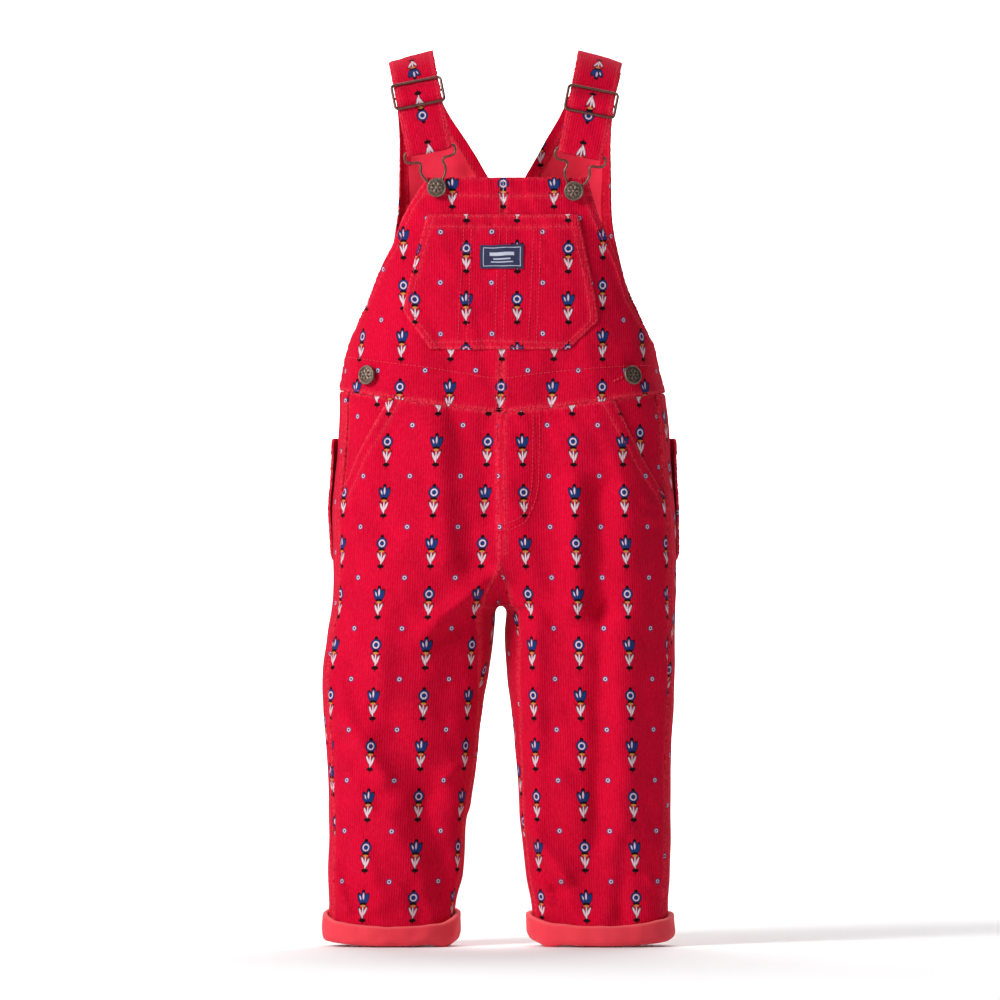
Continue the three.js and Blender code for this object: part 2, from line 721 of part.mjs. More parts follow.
// The strap's middle line as (length along the route, distance off it)
function strapLine(side) {
  const sliderAt = lengthAtDrop(pick(side, SLIDER_DROP));
  const hookAt = lengthAtDrop(pick(side, HOOK_DROP));
  const line = [];
  for (let i = 0; i <= 14; i += 1) line.push([mix(0, sliderAt - 13, i / 14), 0]);
  // Under the slider's top wire, over its bar, under its bottom wire
  for (const [along, off] of [[-10, 0], [-8, 0.8], [-6, 1.9], [-3, 3.4], [0, 3.75], [3, 3.4],
    [6, 1.9], [8, 0.8], [10, 0], [13, 0]]) {
    line.push([sliderAt + along, off]);
  }
  for (let i = 1; i <= 5; i += 1) line.push([mix(sliderAt + 13, hookAt - 7, i / 5), 0]);
  line.push([hookAt - 3.2, 0.6]);
  // Round the hook's bar
  const turn = WIRE_HOOK + LAY_GAP + STRAP.thickness / 2 + 0.05;
  for (let i = 0; i <= 6; i += 1) {
    const angle = Math.PI / 2 - Math.PI * i / 6;
    line.push([hookAt + turn * Math.cos(angle), HOOK_INSET + turn * Math.sin(angle)]);
  }
  line.push([hookAt - 3.2, -2.9]);
  // Back up behind, round the slider's bar, and down to the sewn end
  for (let i = 0; i <= 4; i += 1) line.push([mix(hookAt - 7, sliderAt + 9, i / 4), -2.25]);
  line.push([sliderAt + 5.5, -1.1], [sliderAt + 2.8, 0.75]);
  const loop = WIRE_BAR + LAY_GAP + STRAP.thickness / 2 + 0.15;
  for (let i = 0; i <= 6; i += 1) {
    const angle = Math.PI / 2 + Math.PI * i / 6;
    line.push([sliderAt + loop * Math.cos(angle), SLIDER.bar + loop * Math.sin(angle)]);
  }
  line.push([sliderAt + 4, -3.9], [sliderAt + 8, -4.5], [sliderAt + 14, -4.5]);
  return line.map(([length, off]) => {
    const { y, h } = offRoute(length, off);
    return new THREE.Vector2(y, h);
  });
}

// Closed outline of a ribbon of even thickness along a middle line
function ribbonOutline(line, thickness) {
  const outer = [];
  const inner = [];
  line.forEach((point, i) => {
    const before = line[Math.max(i - 1, 0)];
    const after = line[Math.min(i + 1, line.length - 1)];
    const into = point.clone().sub(before).normalize();
    const away = after.clone().sub(point).normalize();
    const along = into.add(away).normalize();
    const across = new THREE.Vector2(along.y, -along.x);
    const miter = i > 0 && i < line.length - 1
      ? 1 / Math.max(Math.abs(across.dot(new THREE.Vector2(away.y, -away.x))), 0.7) : 1;
    outer.push(point.clone().addScaledVector(across, thickness / 2 * miter));
    inner.push(point.clone().addScaledVector(across, -thickness / 2 * miter));
  });
  return [...outer, ...inner.reverse()];
}

// Axes of a strap's plane: y stays y, h leans outwards, w runs across
function strapFrame(side) {
  const lean = STRAP.lean * side;
  const up = new THREE.Vector3(Math.sin(lean), 0, Math.cos(lean));
  const across = new THREE.Vector3(Math.cos(lean), 0, -Math.sin(lean));
  const matrix = new THREE.Matrix4().makeBasis(new THREE.Vector3(0, 1, 0), up, across);
  matrix.setPosition(pick(side, STRAP_TOP_X), 0, 0);
  return matrix;
}

// In the strap's own frame a point is (y, h, w)
function strap(side) {
  const shape = new THREE.Shape(ribbonOutline(strapLine(side), STRAP.thickness));
  const geometry = new THREE.ExtrudeGeometry(shape, {
    depth: STRAP.width, steps: 1, bevelEnabled: false,
  });
  geometry.translate(0, 0, -STRAP.width / 2);
  return geometry.applyMatrix4(strapFrame(side));
}

// Round wire along points that lie near one plane, whose normal is given
function wire(points, radius, sides, planeNormal, closed) {
  const positions = [];
  const index = [];
  const count = points.length;
  points.forEach((point, i) => {
    const before = closed ? points[(i + count - 1) % count] : points[Math.max(i - 1, 0)];
    const after = closed ? points[(i + 1) % count] : points[Math.min(i + 1, count - 1)];
    const tangent = after.clone().sub(before).normalize();
    const first = planeNormal.clone().addScaledVector(tangent, -planeNormal.dot(tangent)).normalize();
    const second = tangent.clone().cross(first);
    for (let k = 0; k < sides; k += 1) {
      const angle = 2 * Math.PI * k / sides;
      const place = point.clone().addScaledVector(first, radius * Math.cos(angle))
        .addScaledVector(second, radius * Math.sin(angle));
      positions.push(place.x, place.y, place.z);
    }
  });
  const spans = closed ? count : count - 1;
  for (let i = 0; i < spans; i += 1) {
    for (let k = 0; k < sides; k += 1) {
      const a = i * sides + k;
      const b = i * sides + (k + 1) % sides;
      const c = ((i + 1) % count) * sides + (k + 1) % sides;
      const d = ((i + 1) % count) * sides + k;
      index.push(a, b, c, a, c, d);
    }
  }
  if (!closed) {
    for (let k = 1; k + 1 < sides; k += 1) {
      index.push(0, k + 1, k);
      const base = (count - 1) * sides;
      index.push(base, base + k, base + k + 1);
    }
  }
  return indexed(positions, index);
}

function toManifold(geometry) {
  const bare = new THREE.BufferGeometry();
  bare.setAttribute('position', geometry.getAttribute('position'));
  bare.setIndex(geometry.getIndex());
  const merged = BufferGeometryUtils.mergeVertices(bare, 1e-4);
  return new wasm.Manifold(new wasm.Mesh({
    numProp: 3,
    vertProperties: new Float32Array(merged.getAttribute('position').array),
    triVerts: new Uint32Array(merged.getIndex().array),
  }));
}

function fromManifold(solid) {
  const mesh = solid.getMesh();
  return indexed(Array.from(mesh.vertProperties), Array.from(mesh.triVerts));
}

// Slider: a rounded wire frame and a centre bar whose ends rise into the frame's sides
function slider(side) {
  const spot = offRoute(lengthAtDrop(pick(side, SLIDER_DROP)), 0);
  const along = new THREE.Vector3(spot.tangent.y, spot.tangent.z, 0);
  const off = new THREE.Vector3(spot.tangent.z, -spot.tangent.y, 0);
  const across = new THREE.Vector3(0, 0, 1);
  const place = (s, w, n) => new THREE.Vector3(spot.y, spot.h, 0)
    .addScaledVector(along, s).addScaledVector(across, w).addScaledVector(off, n);
  const { halfWidth, halfHeight, corner: round, lift, bar } = SLIDER;
  const frame = [];
  const corners = [[1, 1, 0], [-1, 1, 1], [-1, -1, 2], [1, -1, 3]];
  for (const [w, s, turn] of corners) {
    for (let i = 0; i <= 3; i += 1) {
      const angle = (turn + i / 3) * Math.PI / 2;
      frame.push(place(
        s * (halfHeight - round) + round * Math.sin(angle),
        w * (halfWidth - round) + round * Math.cos(angle),
        lift,
      ));
    }
  }
  const barLine = [
    [-halfWidth, lift], [-halfWidth, 0.5], [-halfWidth + 1, bar + 0.2], [-halfWidth + 3, bar],
    [halfWidth - 3, bar], [halfWidth - 1, bar + 0.2], [halfWidth, 0.5], [halfWidth, lift],
  ].map(([w, n]) => place(0, w, n));
  const ring = wire(frame, WIRE_SLIDER, 6, off, true);
  const middle = wire(barLine, WIRE_BAR, 6, along, false);
  return fromManifold(toManifold(ring).add(toManifold(middle))).applyMatrix4(strapFrame(side));
}

// Hook: one bent wire from the strap's fold down and round the button's shank (w, h below the bar)
const HOOK_SIDE = [
  [18.4, 0], [19.6, -1.3], [19.9, -4.2], [18.7, -6.8], [15.6, -8.1], [11, -8.4], [9, -9.6], [8.9, -12],
  [9.8, -15.6], [8.9, -19.6], [6.4, -24], [4.3, -27.6],
];
const SHANK_LOOP = 3.6;
const BUTTON_DROP = { left: -104.6, right: -107.4 };
function hook(side) {
  const bar = offRoute(lengthAtDrop(pick(side, HOOK_DROP)), HOOK_INSET);
  const low = pick(side, BUTTON_DROP) - bar.h;
  const bottom = [];
  for (let i = 0; i <= 8; i += 1) {
    const angle = -Math.PI * i / 8;
    bottom.push([SHANK_LOOP * Math.cos(angle), low + SHANK_LOOP * Math.sin(angle)]);
  }
  const right = [...HOOK_SIDE, ...bottom.slice(0, 4)];
  const left = right.map(([w, h]) => [-w, h]).reverse();
  const path = [[0, 0], [9, 0], ...right, bottom[4], ...left, [-9, 0]];
  const points = path.map(([w, h]) => new THREE.Vector3(bar.y, bar.h + h, w));
  const geometry = wire(points, WIRE_HOOK, 6, new THREE.Vector3(1, 0, 0), true);
  return geometry.applyMatrix4(strapFrame(side));
}

// Shank button turned about its axis; the head's back stands off the cloth
const BUTTON = { radius: 7.6, foot: 3, neck: 1.9, head: 2.8 };
function button(point, axis, stand) {
  const { radius, foot, neck, head } = BUTTON;
  const profile = [
    [0, 0], [foot, 0], [foot, 0.8], [neck, 1.2], [neck, stand], [radius - 0.7, stand],
    [radius, stand + 0.7], [radius, stand + 1.5], [radius - 1, stand + 2.3], [radius / 2, stand + head - 0.1],
    [0, stand + head],
  ].map(([r, y]) => new THREE.Vector2(r, y));
  const geometry = new THREE.LatheGeometry(profile, 16);
  const turn = new THREE.Quaternion().setFromUnitVectors(new THREE.Vector3(0, 1, 0), axis);
  geometry.applyQuaternion(turn);
  return geometry.translate(point.x, point.y, point.z);
}

const SIDE_BUTTON = { left: { x: -102.7, z: -248 }, right: { x: 99.5, z: -248.8 } };
const HEAD_BACK_Y = -50.6;    // the bib buttons' heads lie in front of the hooks

for (const { side, name } of SIDES) {
  addPiece(`bib_${name}`, bib(side), CORDUROY);
  addPiece(`back_bib_${name}`, backBib(side), CORDUROY);
  addPiece(`back_facing_${name}`, backFacing(side), CORDUROY);
  addPiece(`front_leg_${name}`, frontLeg(side), CORDUROY);
  addPiece(`side_panel_${name}`, sidePanel(side), CORDUROY);
  addPiece(`back_leg_${name}`, backLeg(side), CORDUROY);
  addPiece(`back_pocket_${name}`, backPocket(side), CORDUROY);
  addPiece(`cuff_${name}`, cuff(side), CORAL);
  addPiece(`strap_${name}`, strap(side), CORDUROY);
  addPiece(`slider_${name}`, slider(side), OLD_BRASS);
  addPiece(`hook_${name}`, hook(side), OLD_BRASS);

  const shank = new THREE.Vector3(0, pick(side, BUTTON_DROP), 0).applyMatrix4(strapFrame(side));
  const bibPlace = placeAtX(side, shank.x, shank.z);
  const bibPoint = skin(side, bibPlace, shank.z);
  bibPoint.y -= 0.7;
  const forward = new THREE.Vector3(0, -1, 0);
  addPiece(`button_bib_${name}`, button(bibPoint, forward, bibPoint.y - HEAD_BACK_Y), OLD_BRASS);

  const spot = pick(side, SIDE_BUTTON);
  const place = placeAtX(side, spot.x, spot.z);
  const sidePoint = skin(side, place, spot.z, 0.1);
  addPiece(`button_side_${name}`, button(sidePoint, normal(side, place, spot.z), 3), OLD_BRASS);
}
addPiece('bib_pocket', frontPatch(BIB_POCKET, 14, PATCH_GAP + PATCH, PATCH), CORDUROY);
addPiece('label', frontPatch(LABEL_EDGES, 4, PATCH_GAP + PATCH + LAY_GAP + LABEL, LABEL), NAVY);

export default garment;
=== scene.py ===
"""Toddler overalls in printed pincord, filled out with no wearer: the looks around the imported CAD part.

Sizes are in millimetres until a mesh is made. +Z is up, the front faces -Y and +X is the viewer's right.
"""

import math
from collections import namedtuple

import bpy
import numpy as np
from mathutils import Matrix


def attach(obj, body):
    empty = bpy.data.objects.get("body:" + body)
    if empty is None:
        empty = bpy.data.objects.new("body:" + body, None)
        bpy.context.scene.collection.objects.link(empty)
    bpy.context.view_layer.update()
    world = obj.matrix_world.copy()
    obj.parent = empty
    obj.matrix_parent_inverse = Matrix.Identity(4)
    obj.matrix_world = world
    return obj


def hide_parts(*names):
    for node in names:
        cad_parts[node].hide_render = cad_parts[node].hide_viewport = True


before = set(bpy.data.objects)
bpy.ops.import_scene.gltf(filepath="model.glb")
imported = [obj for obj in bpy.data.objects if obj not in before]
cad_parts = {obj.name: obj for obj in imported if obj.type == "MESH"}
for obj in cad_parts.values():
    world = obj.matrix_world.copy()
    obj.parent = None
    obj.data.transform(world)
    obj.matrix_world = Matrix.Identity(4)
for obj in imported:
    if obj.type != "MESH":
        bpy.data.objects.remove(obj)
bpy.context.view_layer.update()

MM = 0.001
SIDES = (("left", -1), ("right", 1))
STEP = 2.1      # size of a mesh cell of cloth

# Cloth walls, as in the solids, and clearances. The seams here are closer than in the solids
CLOTH = 1.8
FACING = 1.0
PATCH = 1.4
LABEL = 1.0
SEAM_GAP = 0.12
LAY_GAP = 0.3
PATCH_GAP = 0.8
HIP_PATCH_GAP = 1.2
SIDE_PANEL_SET_BACK = 1.9

# Heights of the main lines
BACK_TOP = -10
BIB_TOP = -94.5
NECK_POINT = -116
ARMHOLE_FOOT = -222
WAIST_FRONT = -277
WAIST_SIDE = {"left": -259.7, "right": -261.5}
WAIST_BACK = -257
HIP = -345
FRONT_RISE = -375
FORK = -399
CROTCH = -427.4
CROTCH_Y = 4
CROTCH_LAP = 0.7                       # the halves lap here, so that no light shows between them
POCKET_FOOT = -341
LEG_END = -686
FULL = 0.58                            # how far a rounded corner fills its square


def name_of(side):
    return "left" if side < 0 else "right"


class Table:
    """Named columns that run smoothly with height. A row starts with its height, and heights fall."""

    def __init__(self, names, rows):
        data = np.array(rows, float)
        self.names = names.split()
        self.heights, self.values = data[:, 0], data[:, 1:]
        index = np.arange(len(data))
        before, after = np.maximum(index - 1, 0), np.minimum(index + 1, len(data) - 1)
        rise = (self.heights[after] - self.heights[before])[:, None]
        self.slopes = (self.values[after] - self.values[before]) / rise

    def __call__(self, z, column):
        """The value at a height. A side of -1 or 1 asks for the column left or right."""
        k = self.names.index(column if isinstance(column, str) else name_of(column))
        z = np.asarray(z, float)
        i = np.clip(np.searchsorted(-self.heights, -z, "right") - 1, 0, len(self.heights) - 2)
        span = self.heights[i + 1] - self.heights[i]
        s = np.clip((z - self.heights[i]) / span, 0, 1)
        eased = s * s * (3 - 2 * s)
        level = self.values[i, k] * (1 - eased) + self.values[i + 1, k] * eased
        return level + span * s * (1 - s) * (self.slopes[i, k] * (1 - s) - self.slopes[i + 1, k] * s)


# Outer form: x of the two side outlines, depth of front and back, x where the flat parts start to round
BODY = Table("left right front back flat_left flat_right", [
    [-5, -104, 105, 30, 22, -92, 95], [-36, -104, 105, 39, 36, -90, 93],
    [-60, -103, 104, 43, 41, -70, 72], [-96, -102, 104, 46.5, 46, -42, 44],
    [-140, -103, 105, 50, 50, -36, 38], [-165, -105, 106, 51.5, 52, -34, 36],
    [-190, -108.5, 108, 53, 53.5, -34, 36], [-210, -115, 114.5, 54, 54.5, -35, 37],
    [-222, -118.8, 118, 54.5, 55, -37, 38], [-243, -124, 122.5, 55, 55.5, -40, 42],
    [-262, -126.4, 127, 55.5, 56, -42, 44], [-290, -127.2, 130.3, 56, 58, -44, 46],
    [-330, -130.5, 133, 57, 60.5, -48, 50], [-355, -132.5, 135.2, 57.5, 61.5, -52, 54],
    [-385, -131.8, 136, 57, 62, -58, 58], [-410, -131.8, 136, 56, 60, -64, 62],
    [-427, -132.5, 135.6, 54.5, 57.5, -68, 65], [-450, -136.5, 134.9, 51, 53, -72, 68],
    [-484, -140.4, 134.9, 46.5, 47.5, -76, 69.5], [-505, -139.6, 134.2, 44, 44.5, -77, 70],
    [-549, -136.5, 131.8, 40, 40, -78, 71], [-600, -134.9, 131.8, 37, 37, -79.5, 72],
    [-636, -135.7, 131, 34.5, 34.5, -83, 74], [-660, -135, 129.5, 32.5, 32.5, -85.5, 76],
    [-692, -136, 130, 32, 32, -87, 77.5],
])

# Centre seams of front and back
CENTRE = Table("front back", [
    [-94.5, 0.9, 4.5], [-138, 0.9, 4.5], [-200, 0.6, 3], [-262, -1, 0], [-290, -3.5, -0.5],
    [-360, -3.2, -1], [-427.4, -1.6, -1.6],
])

# Inner outline of each leg, and how far outside it the inseam lies
LEG_INNER = Table("left right", [
    [-427.4, -5.2, 3.4], [-450, -6.2, 2.3], [-484, -10.9, 3.9], [-505, -14.8, 6.8], [-549, -19.5, 10.9],
    [-582, -24.5, 13.4], [-593, -27.3, 14], [-636, -30.4, 18.4], [-660, -35.9, 22.6], [-692, -38, 25.5],
])
INSEAM_INSET = Table("left right", [
    [-399, 0.2, 0.2], [-405, 3, 3], [-415, 9, 6], [-427, 12.5, 8.5], [-455, 10, 10.5], [-484, 6, 8.5],
    [-505, 2.8, 6.5], [-549, 2, 4], [-600, 2, 2.5], [-692, 2, 2.5],
])
SIDE_INSET = Table("left right", [
    [-262, 6, 6.5], [-360, 6, 7], [-450, 5, 5.5], [-692, 4.5, 4.7],
])

# Side edge of the front bib and of the back bib, and the pocket mouth
BIB_EDGE = Table("left right", [
    [-94.5, -58.5, 66.3], [-121.7, -75.7, 74.5], [-147.4, -86.1, 86], [-164.6, -95.2, 93.5],
    [-188.8, -104.5, 100], [-210.6, -114.4, 111], [-222, -118.7, 117], [-262, -126, 126.6],
])
ARMHOLE = Table("left right", [
    [-10, -87, 93], [-45, -81.5, 86.6], [-100, -81.2, 86.2], [-130, -83.5, 87.6], [-156, -88.5, 92.8],
    [-178, -97.5, 98.6], [-200, -108, 108], [-222, -118.7, 117.9],
])
POCKET_MOUTH = Table("left right", [
    [-262, -86, 85], [-283.9, -99, 96], [-311.2, -113.5, 109.2], [-341, -125.4, 127],
])
NECK = Table("left right", [
    [-10, -56, 60], [-40, -43, 47.2], [-66, -26, 32.5], [-92.7, -10, 17.5], [-116, 4.5, 4.5],
])
FACING_TOP = -34
FACING_GAP = 0.6
FACING_WIDTH = Table("width", [[-34, 5], [-46, 9], [-116, 9]])

# Folds as (x0, z0, x1, z1, width, rise): soft troughs (negative rise) and ridges of each face
FOLDS = {
    "front": [
        (-37, -284, -25, -392, 15, -5), (35, -292, 40, -420, 15, -5), (-14, -410, -58, -448, 11, 5),
        (-40, -470, -52, -560, 13, -3.8), (74, -425, 72, -650, 13, -4.4), (42, -445, 40, -545, 12, -3.8),
        (-118, -650, -128, -618, 9, -3.8), (-116, -478, -58, -572, 13, -5.6),
        (-122, -545, -84, -604, 12, 5), (-64, -588, -46, -652, 12, -4.4), (50, -446, 58, -560, 11, -4),
        (84, -452, 98, -640, 12, 3.8), (20, -580, 66, -626, 10, -4), (-84, -290, -98, -380, 13, -3.8),
        (92, -300, 100, -392, 12, 3.8), (-48, -292, -42, -388, 12, 5.6), (-12, -282, -9, -362, 11, -5.2),
        (76, -338, 75, -430, 12, -7.5), (56, -330, 58, -425, 10, 3.8), (-4, -402, -52, -439, 6, 5.2),
        (-10, -424, -50, -456, 6, -4.8), (12, -408, 40, -436, 6, -3.2), (-112, -352, -84, -372, 7, -3.2),
        (112, -345, 126, -352, 4, 3.1), (108, -357, 124, -361, 4, 2.6), (-135, -409, -120, -415, 4, 3.1),
        (-92, -440, -98, -520, 10, 4.2), (-128, -508, -92, -560, 9, 6.6),
        (-124, -532, -94, -580, 8, -4.8), (-60, -580, -40, -640, 12, -5.2),
        (-20, -545, -44, -560, 5, 4.2), (-134, -626, -121, -664, 5, 4.8), (-108, -618, -92, -655, 9, 3.8),
        (-70, -646, -62, -668, 6, -3.2), (24, -440, 26, -600, 9, 5.2), (79, -430, 75, -610, 8, -5.6),
        (100, -440, 102, -560, 9, 3.8), (14, -592, 48, -638, 6, 5.6), (16, -612, 44, -648, 5, -3.8),
        (18, -640, 35, -646, 3.4, 3.6), (19, -652, 37, -657, 3.4, 3.2), (21, -664, 34, -668, 3, 2.8),
        (96, -612, 92, -668, 7, -4.2), (115, -640, 126, -650, 4, 3.1), (-60, -196, -30, -262, 10, -2.1),
        (62, -210, 34, -262, 10, -2.1),
    ],
    "back": [
        (-22, -290, -34, -400, 15, -4), (30, -300, 44, -415, 15, -4), (-62, -440, -84, -560, 14, -3.5),
        (52, -450, 70, -580, 14, -3.5), (-60, -600, -110, -640, 11, -3), (-90, -460, -50, -560, 13, -3.5),
        (44, -470, 90, -570, 13, -3.5), (-70, -300, -80, -380, 10, 3.0), (78, -300, 84, -390, 10, 3.0),
        (-14, -408, -60, -436, 8, -3.8), (14, -408, 62, -440, 8, -3.8), (-40, -180, -30, -250, 10, -1.8),
        (36, -185, 44, -250, 10, -1.8), (-30, -500, -60, -560, 8, 3.4), (60, -620, 100, -650, 8, -3.4),
        (-46, -640, -52, -668, 7, -2.6),
    ],
}


def mix(a, b, s):
    return a + (b - a) * s


def soft_step(s):
    s = np.clip(s, 0, 1)
    return s * s * (3 - 2 * s)


def bezier(a, b, c, d, s):
    r = 1 - s
    return r * r * r * a + 3 * r * r * s * b + 3 * r * s * s * c + s * s * s * d


def corner(x0, y0, x1, y1, s):
    """A rounded corner that leaves (x0, y0) along y and arrives at (x1, y1) along x."""
    return bezier(x0, x0, mix(x1, x0, FULL), x1, s), bezier(y0, mix(y0, y1, FULL), y1, y1, s)


def under_curve(z, start):
    s = np.clip((start - z) / (start - CROTCH), 0, 1)
    return 1 - np.sqrt(1 - s * s)


def under(z, start, s):
    """How far the cloth has curved under: sharply at the inner edge (s = 0), gently away from it."""
    gentle = soft_step((start - z) / (start - CROTCH + 22))
    return mix(under_curve(z, start), gentle, soft_step(s / 0.4))


def rumple(x, z):
    """Shallow, wandering unevenness of soft cloth."""
    bend = 8 * np.sin(z / 23) + 5 * np.sin(x / 17 + 1)
    return (0.5 * np.sin((x + bend) / 7.5 + z / 31) + 0.45 * np.sin((0.8 * z + 0.35 * x + bend) / 9 + 2)
            + 0.3 * np.sin((0.7 * x - z) / 5.2 + bend / 6) + 0.5 * np.sin(x / 19 - z / 13 + 1)
            + 0.16 * np.sin((x + 0.4 * z) / 2.6 + bend / 4))


def inner_x(side, z, centre):
    arch = np.clip((CROTCH - z) / 6, 0, 1)
    parted = np.sqrt(1 - (1 - arch) ** 2)
    apart = mix(SEAM_GAP / 2, -CROTCH_LAP, soft_step((FRONT_RISE - z) / 20))
    return mix(centre + side * apart, LEG_INNER(z, side), parted)


def wrapped(t, z):
    return np.where(z < CROTCH, np.mod(t, 4), np.clip(t, 0, 4))


def outline(side, t, z):
    """(x, y) of one half at a height. t runs 0 centre front, 1 front, 2 side, 3 back, 4 centre back.
    Below the crotch the half is a closed leg, and t = 4 is t = 0 again."""
    t, z = np.broadcast_arrays(np.asarray(t, float), np.asarray(z, float))
    reach, flat = BODY(z, side), BODY(z, "flat_" + name_of(side))
    front, back = -BODY(z, "front"), BODY(z, "back")
    around = wrapped(t, z)
    quarter = np.minimum(np.floor(around), 3)
    s = around - quarter
    front_y = mix(front, CROTCH_Y, under(z, FRONT_RISE, s))
    back_y = mix(back, CROTCH_Y, under(z, HIP, 1 - s))
    quarters = [
        corner(inner_x(side, z, CENTRE(z, "front")), front_y, flat, front, s),
        corner(reach, 0, flat, front, 1 - s),
        corner(reach, 0, flat, back, s),
        corner(inner_x(side, z, CENTRE(z, "back")), back_y, flat, back, 1 - s),
    ]
    chosen = [quarter == k for k in range(4)]
    return tuple(np.select(chosen, [q[axis] for q in quarters]) for axis in range(2))


def fold_depth(t, x, z):
    is_front = t < 2
    inward = np.where(is_front, t, 4 - t)
    rise_start = np.where(is_front, FRONT_RISE, HIP)
    tucked = np.where(z < CROTCH, 1, under_curve(z, rise_start))
    fade = np.clip((2 - inward) / 0.5, 0, 1) * mix(1, np.clip(inward / 0.5, 0, 1), tucked)
    depth = rumple(x, z) * fade
    for facing, folds in ((is_front, FOLDS["front"]), (~is_front, FOLDS["back"])):
        for x0, z0, x1, z1, width, rise in folds:
            dx, dz = x1 - x0, z1 - z0
            along = np.clip(((x - x0) * dx + (z - z0) * dz) / (dx * dx + dz * dz), 0, 1)
            off = np.hypot(x - x0 - along * dx, z - z0 - along * dz) / width
            depth += rise * np.exp(-off * off) * fade * facing
    return np.where(is_front, -depth, depth)


HEM_LEAN = (5.0, 3.5)              # rise of a hem from its front to its side, and on to its back
HEM_LEAN_START = -640
HEM_HALF_DEPTH = 34.0


def hem_lift(y, z):
    side, back = HEM_LEAN
    lift = side * np.clip(y / HEM_HALF_DEPTH + 1, 0, 1) + back * np.clip(y / HEM_HALF_DEPTH, 0, 1)
    return lift * soft_step((HEM_LEAN_START - z) / (HEM_LEAN_START - LEG_END))


def surface(side, t, z):
    t, z = np.broadcast_arrays(np.asarray(t, float), np.asarray(z, float))
    x, y = outline(side, t, z)
    return np.stack([x, y + fold_depth(wrapped(t, z), x, z), z + hem_lift(y, z)], axis=-1)


def unit(v):
    return v / np.maximum(np.linalg.norm(v, axis=-1, keepdims=True), 1e-9)


PLACE_STEP = 0.02                      # reach on both sides of a place to measure a slope there


def normal(side, t, z):
    t, z = np.broadcast_arrays(np.asarray(t, float), np.asarray(z, float))
    high = np.where(z < CROTCH, np.minimum(z + 0.5, CROTCH - 1e-6), z + 0.5)
    low = np.where(z < CROTCH, z - 0.5, np.maximum(z - 0.5, CROTCH))
    along = surface(side, t + PLACE_STEP, z) - surface(side, t - PLACE_STEP, z)
    up = surface(side, t, high) - surface(side, t, low)
    return unit(np.cross(along, up) * side)


HALVINGS = 26


def place_at_x(side, x, z, face="front"):
    """Place along the outline where the front (or back) has a given x."""
    x, z = np.broadcast_arrays(np.asarray(x, float), np.asarray(z, float))
    centre, edge = np.full(x.shape, 0.0 if face == "front" else 4.0), np.full(x.shape, 2.0)
    for _ in range(HALVINGS):
        middle = (centre + edge) / 2
        inside = outline(side, middle, z)[0] * side < x * side
        centre, edge = np.where(inside, middle, centre), np.where(inside, edge, middle)
    return (centre + edge) / 2


def outline_step(side, t, z):
    """How far x and y move along the outline from one side of a place to the other."""
    (x0, y0), (x1, y1) = (outline(side, t + step, z) for step in (-PLACE_STEP, PLACE_STEP))
    return x1 - x0, y1 - y0


def shift(side, t, z, distance):
    """Moves a place along the outline by a distance."""
    return t + distance * 2 * PLACE_STEP / np.maximum(np.hypot(*outline_step(side, t, z)), 1e-3)


def arc_table(side, z, first, last, count=80):
    """For each height, places from first to last and the length along the outline up to each."""
    t = first[:, None] + (last - first)[:, None] * np.linspace(0, 1, count)
    x, y = outline(side, t, z[:, None])
    run = np.cumsum(np.hypot(np.diff(x, axis=1), np.diff(y, axis=1)), axis=1)
    return t, np.concatenate([np.zeros((len(z), 1)), run], axis=1)


def even_places(side, z, first, last, shares):
    places, lengths = arc_table(side, z, first, last)
    return np.array([np.interp(shares * run[-1], run, row) for run, row in zip(lengths, places)])


# Named lines on the cloth
def side_seam(side, z):
    return place_at_x(side, BODY(z, side) - side * SIDE_INSET(z, side), z)


def pocket_mouth(side, z):
    return place_at_x(side, POCKET_MOUTH(z, side), z)


def inseam(side, z):
    start = outline(side, 0, z)[0]
    return place_at_x(side, start + side * INSEAM_INSET(z, side), z)


def beside(line, side, distance):
    return lambda z: shift(side, line(side, z), z, distance)


def bib_edge(side, z):
    closed = shift(side, 2, z, -SEAM_GAP)
    free = np.minimum(place_at_x(side, BIB_EDGE(z, side), z), closed)
    return np.where(z <= ARMHOLE_FOOT, closed, free)


def back_edge(side, z):
    free = np.maximum(place_at_x(side, ARMHOLE(z, side), z, "back"), 2.005)
    return np.where(z <= ARMHOLE_FOOT, shift(side, 2, z, SEAM_GAP), free)


def neck_edge(side, z):
    return np.where(z > NECK_POINT + 1, place_at_x(side, NECK(z, side), z, "back"), 4)


def waist(side, t):
    level = WAIST_SIDE[name_of(side)]
    across = np.clip(outline(side, t, level)[0] / BODY(level, side), 0, 1)
    return np.where(t < 2, mix(WAIST_FRONT, level, across ** 1.15), mix(WAIST_BACK, level, across))


# Edges of a panel. roll: how far the edge turns down. band, width: height and width of the turned-in
# allowance. rows: (distance, highest z, lowest z) of each row of stitches. pucker: ripple along it.
Edge = namedtuple("Edge", "roll band width rows pucker")
NO_TOP, NO_FOOT = 1e4, -1e4
ALL = (NO_TOP, NO_FOOT)
SEAM = Edge(1.0, 0.25, 5, (), 0.18)
STITCHED = Edge(1.0, 0.45, 7, ((2.2, *ALL),), 0.26)
HEM = Edge(1.2, 0.5, 9, ((7.6, *ALL),), 0.3)


def doubled(inset, apart):
    """Two rows of stitches along the whole of an edge."""
    return (inset, *ALL), (inset + apart, *ALL)


def ripple(a, seed):
    waves = ((6.1, 1.0), (4.1, 0.6), (10.7, 0.7), (17.3, 0.4))
    total = sum(size * np.sin(2 * math.pi * a / length + seed * (3 + length)) for length, size in waves)
    return total / 1.6


def running(points, axis):
    """Length along a grid of points from its first row or column."""
    step = np.linalg.norm(np.diff(points, axis=axis), axis=-1)
    return np.insert(np.cumsum(step, axis=axis), 0, 0, axis=axis)


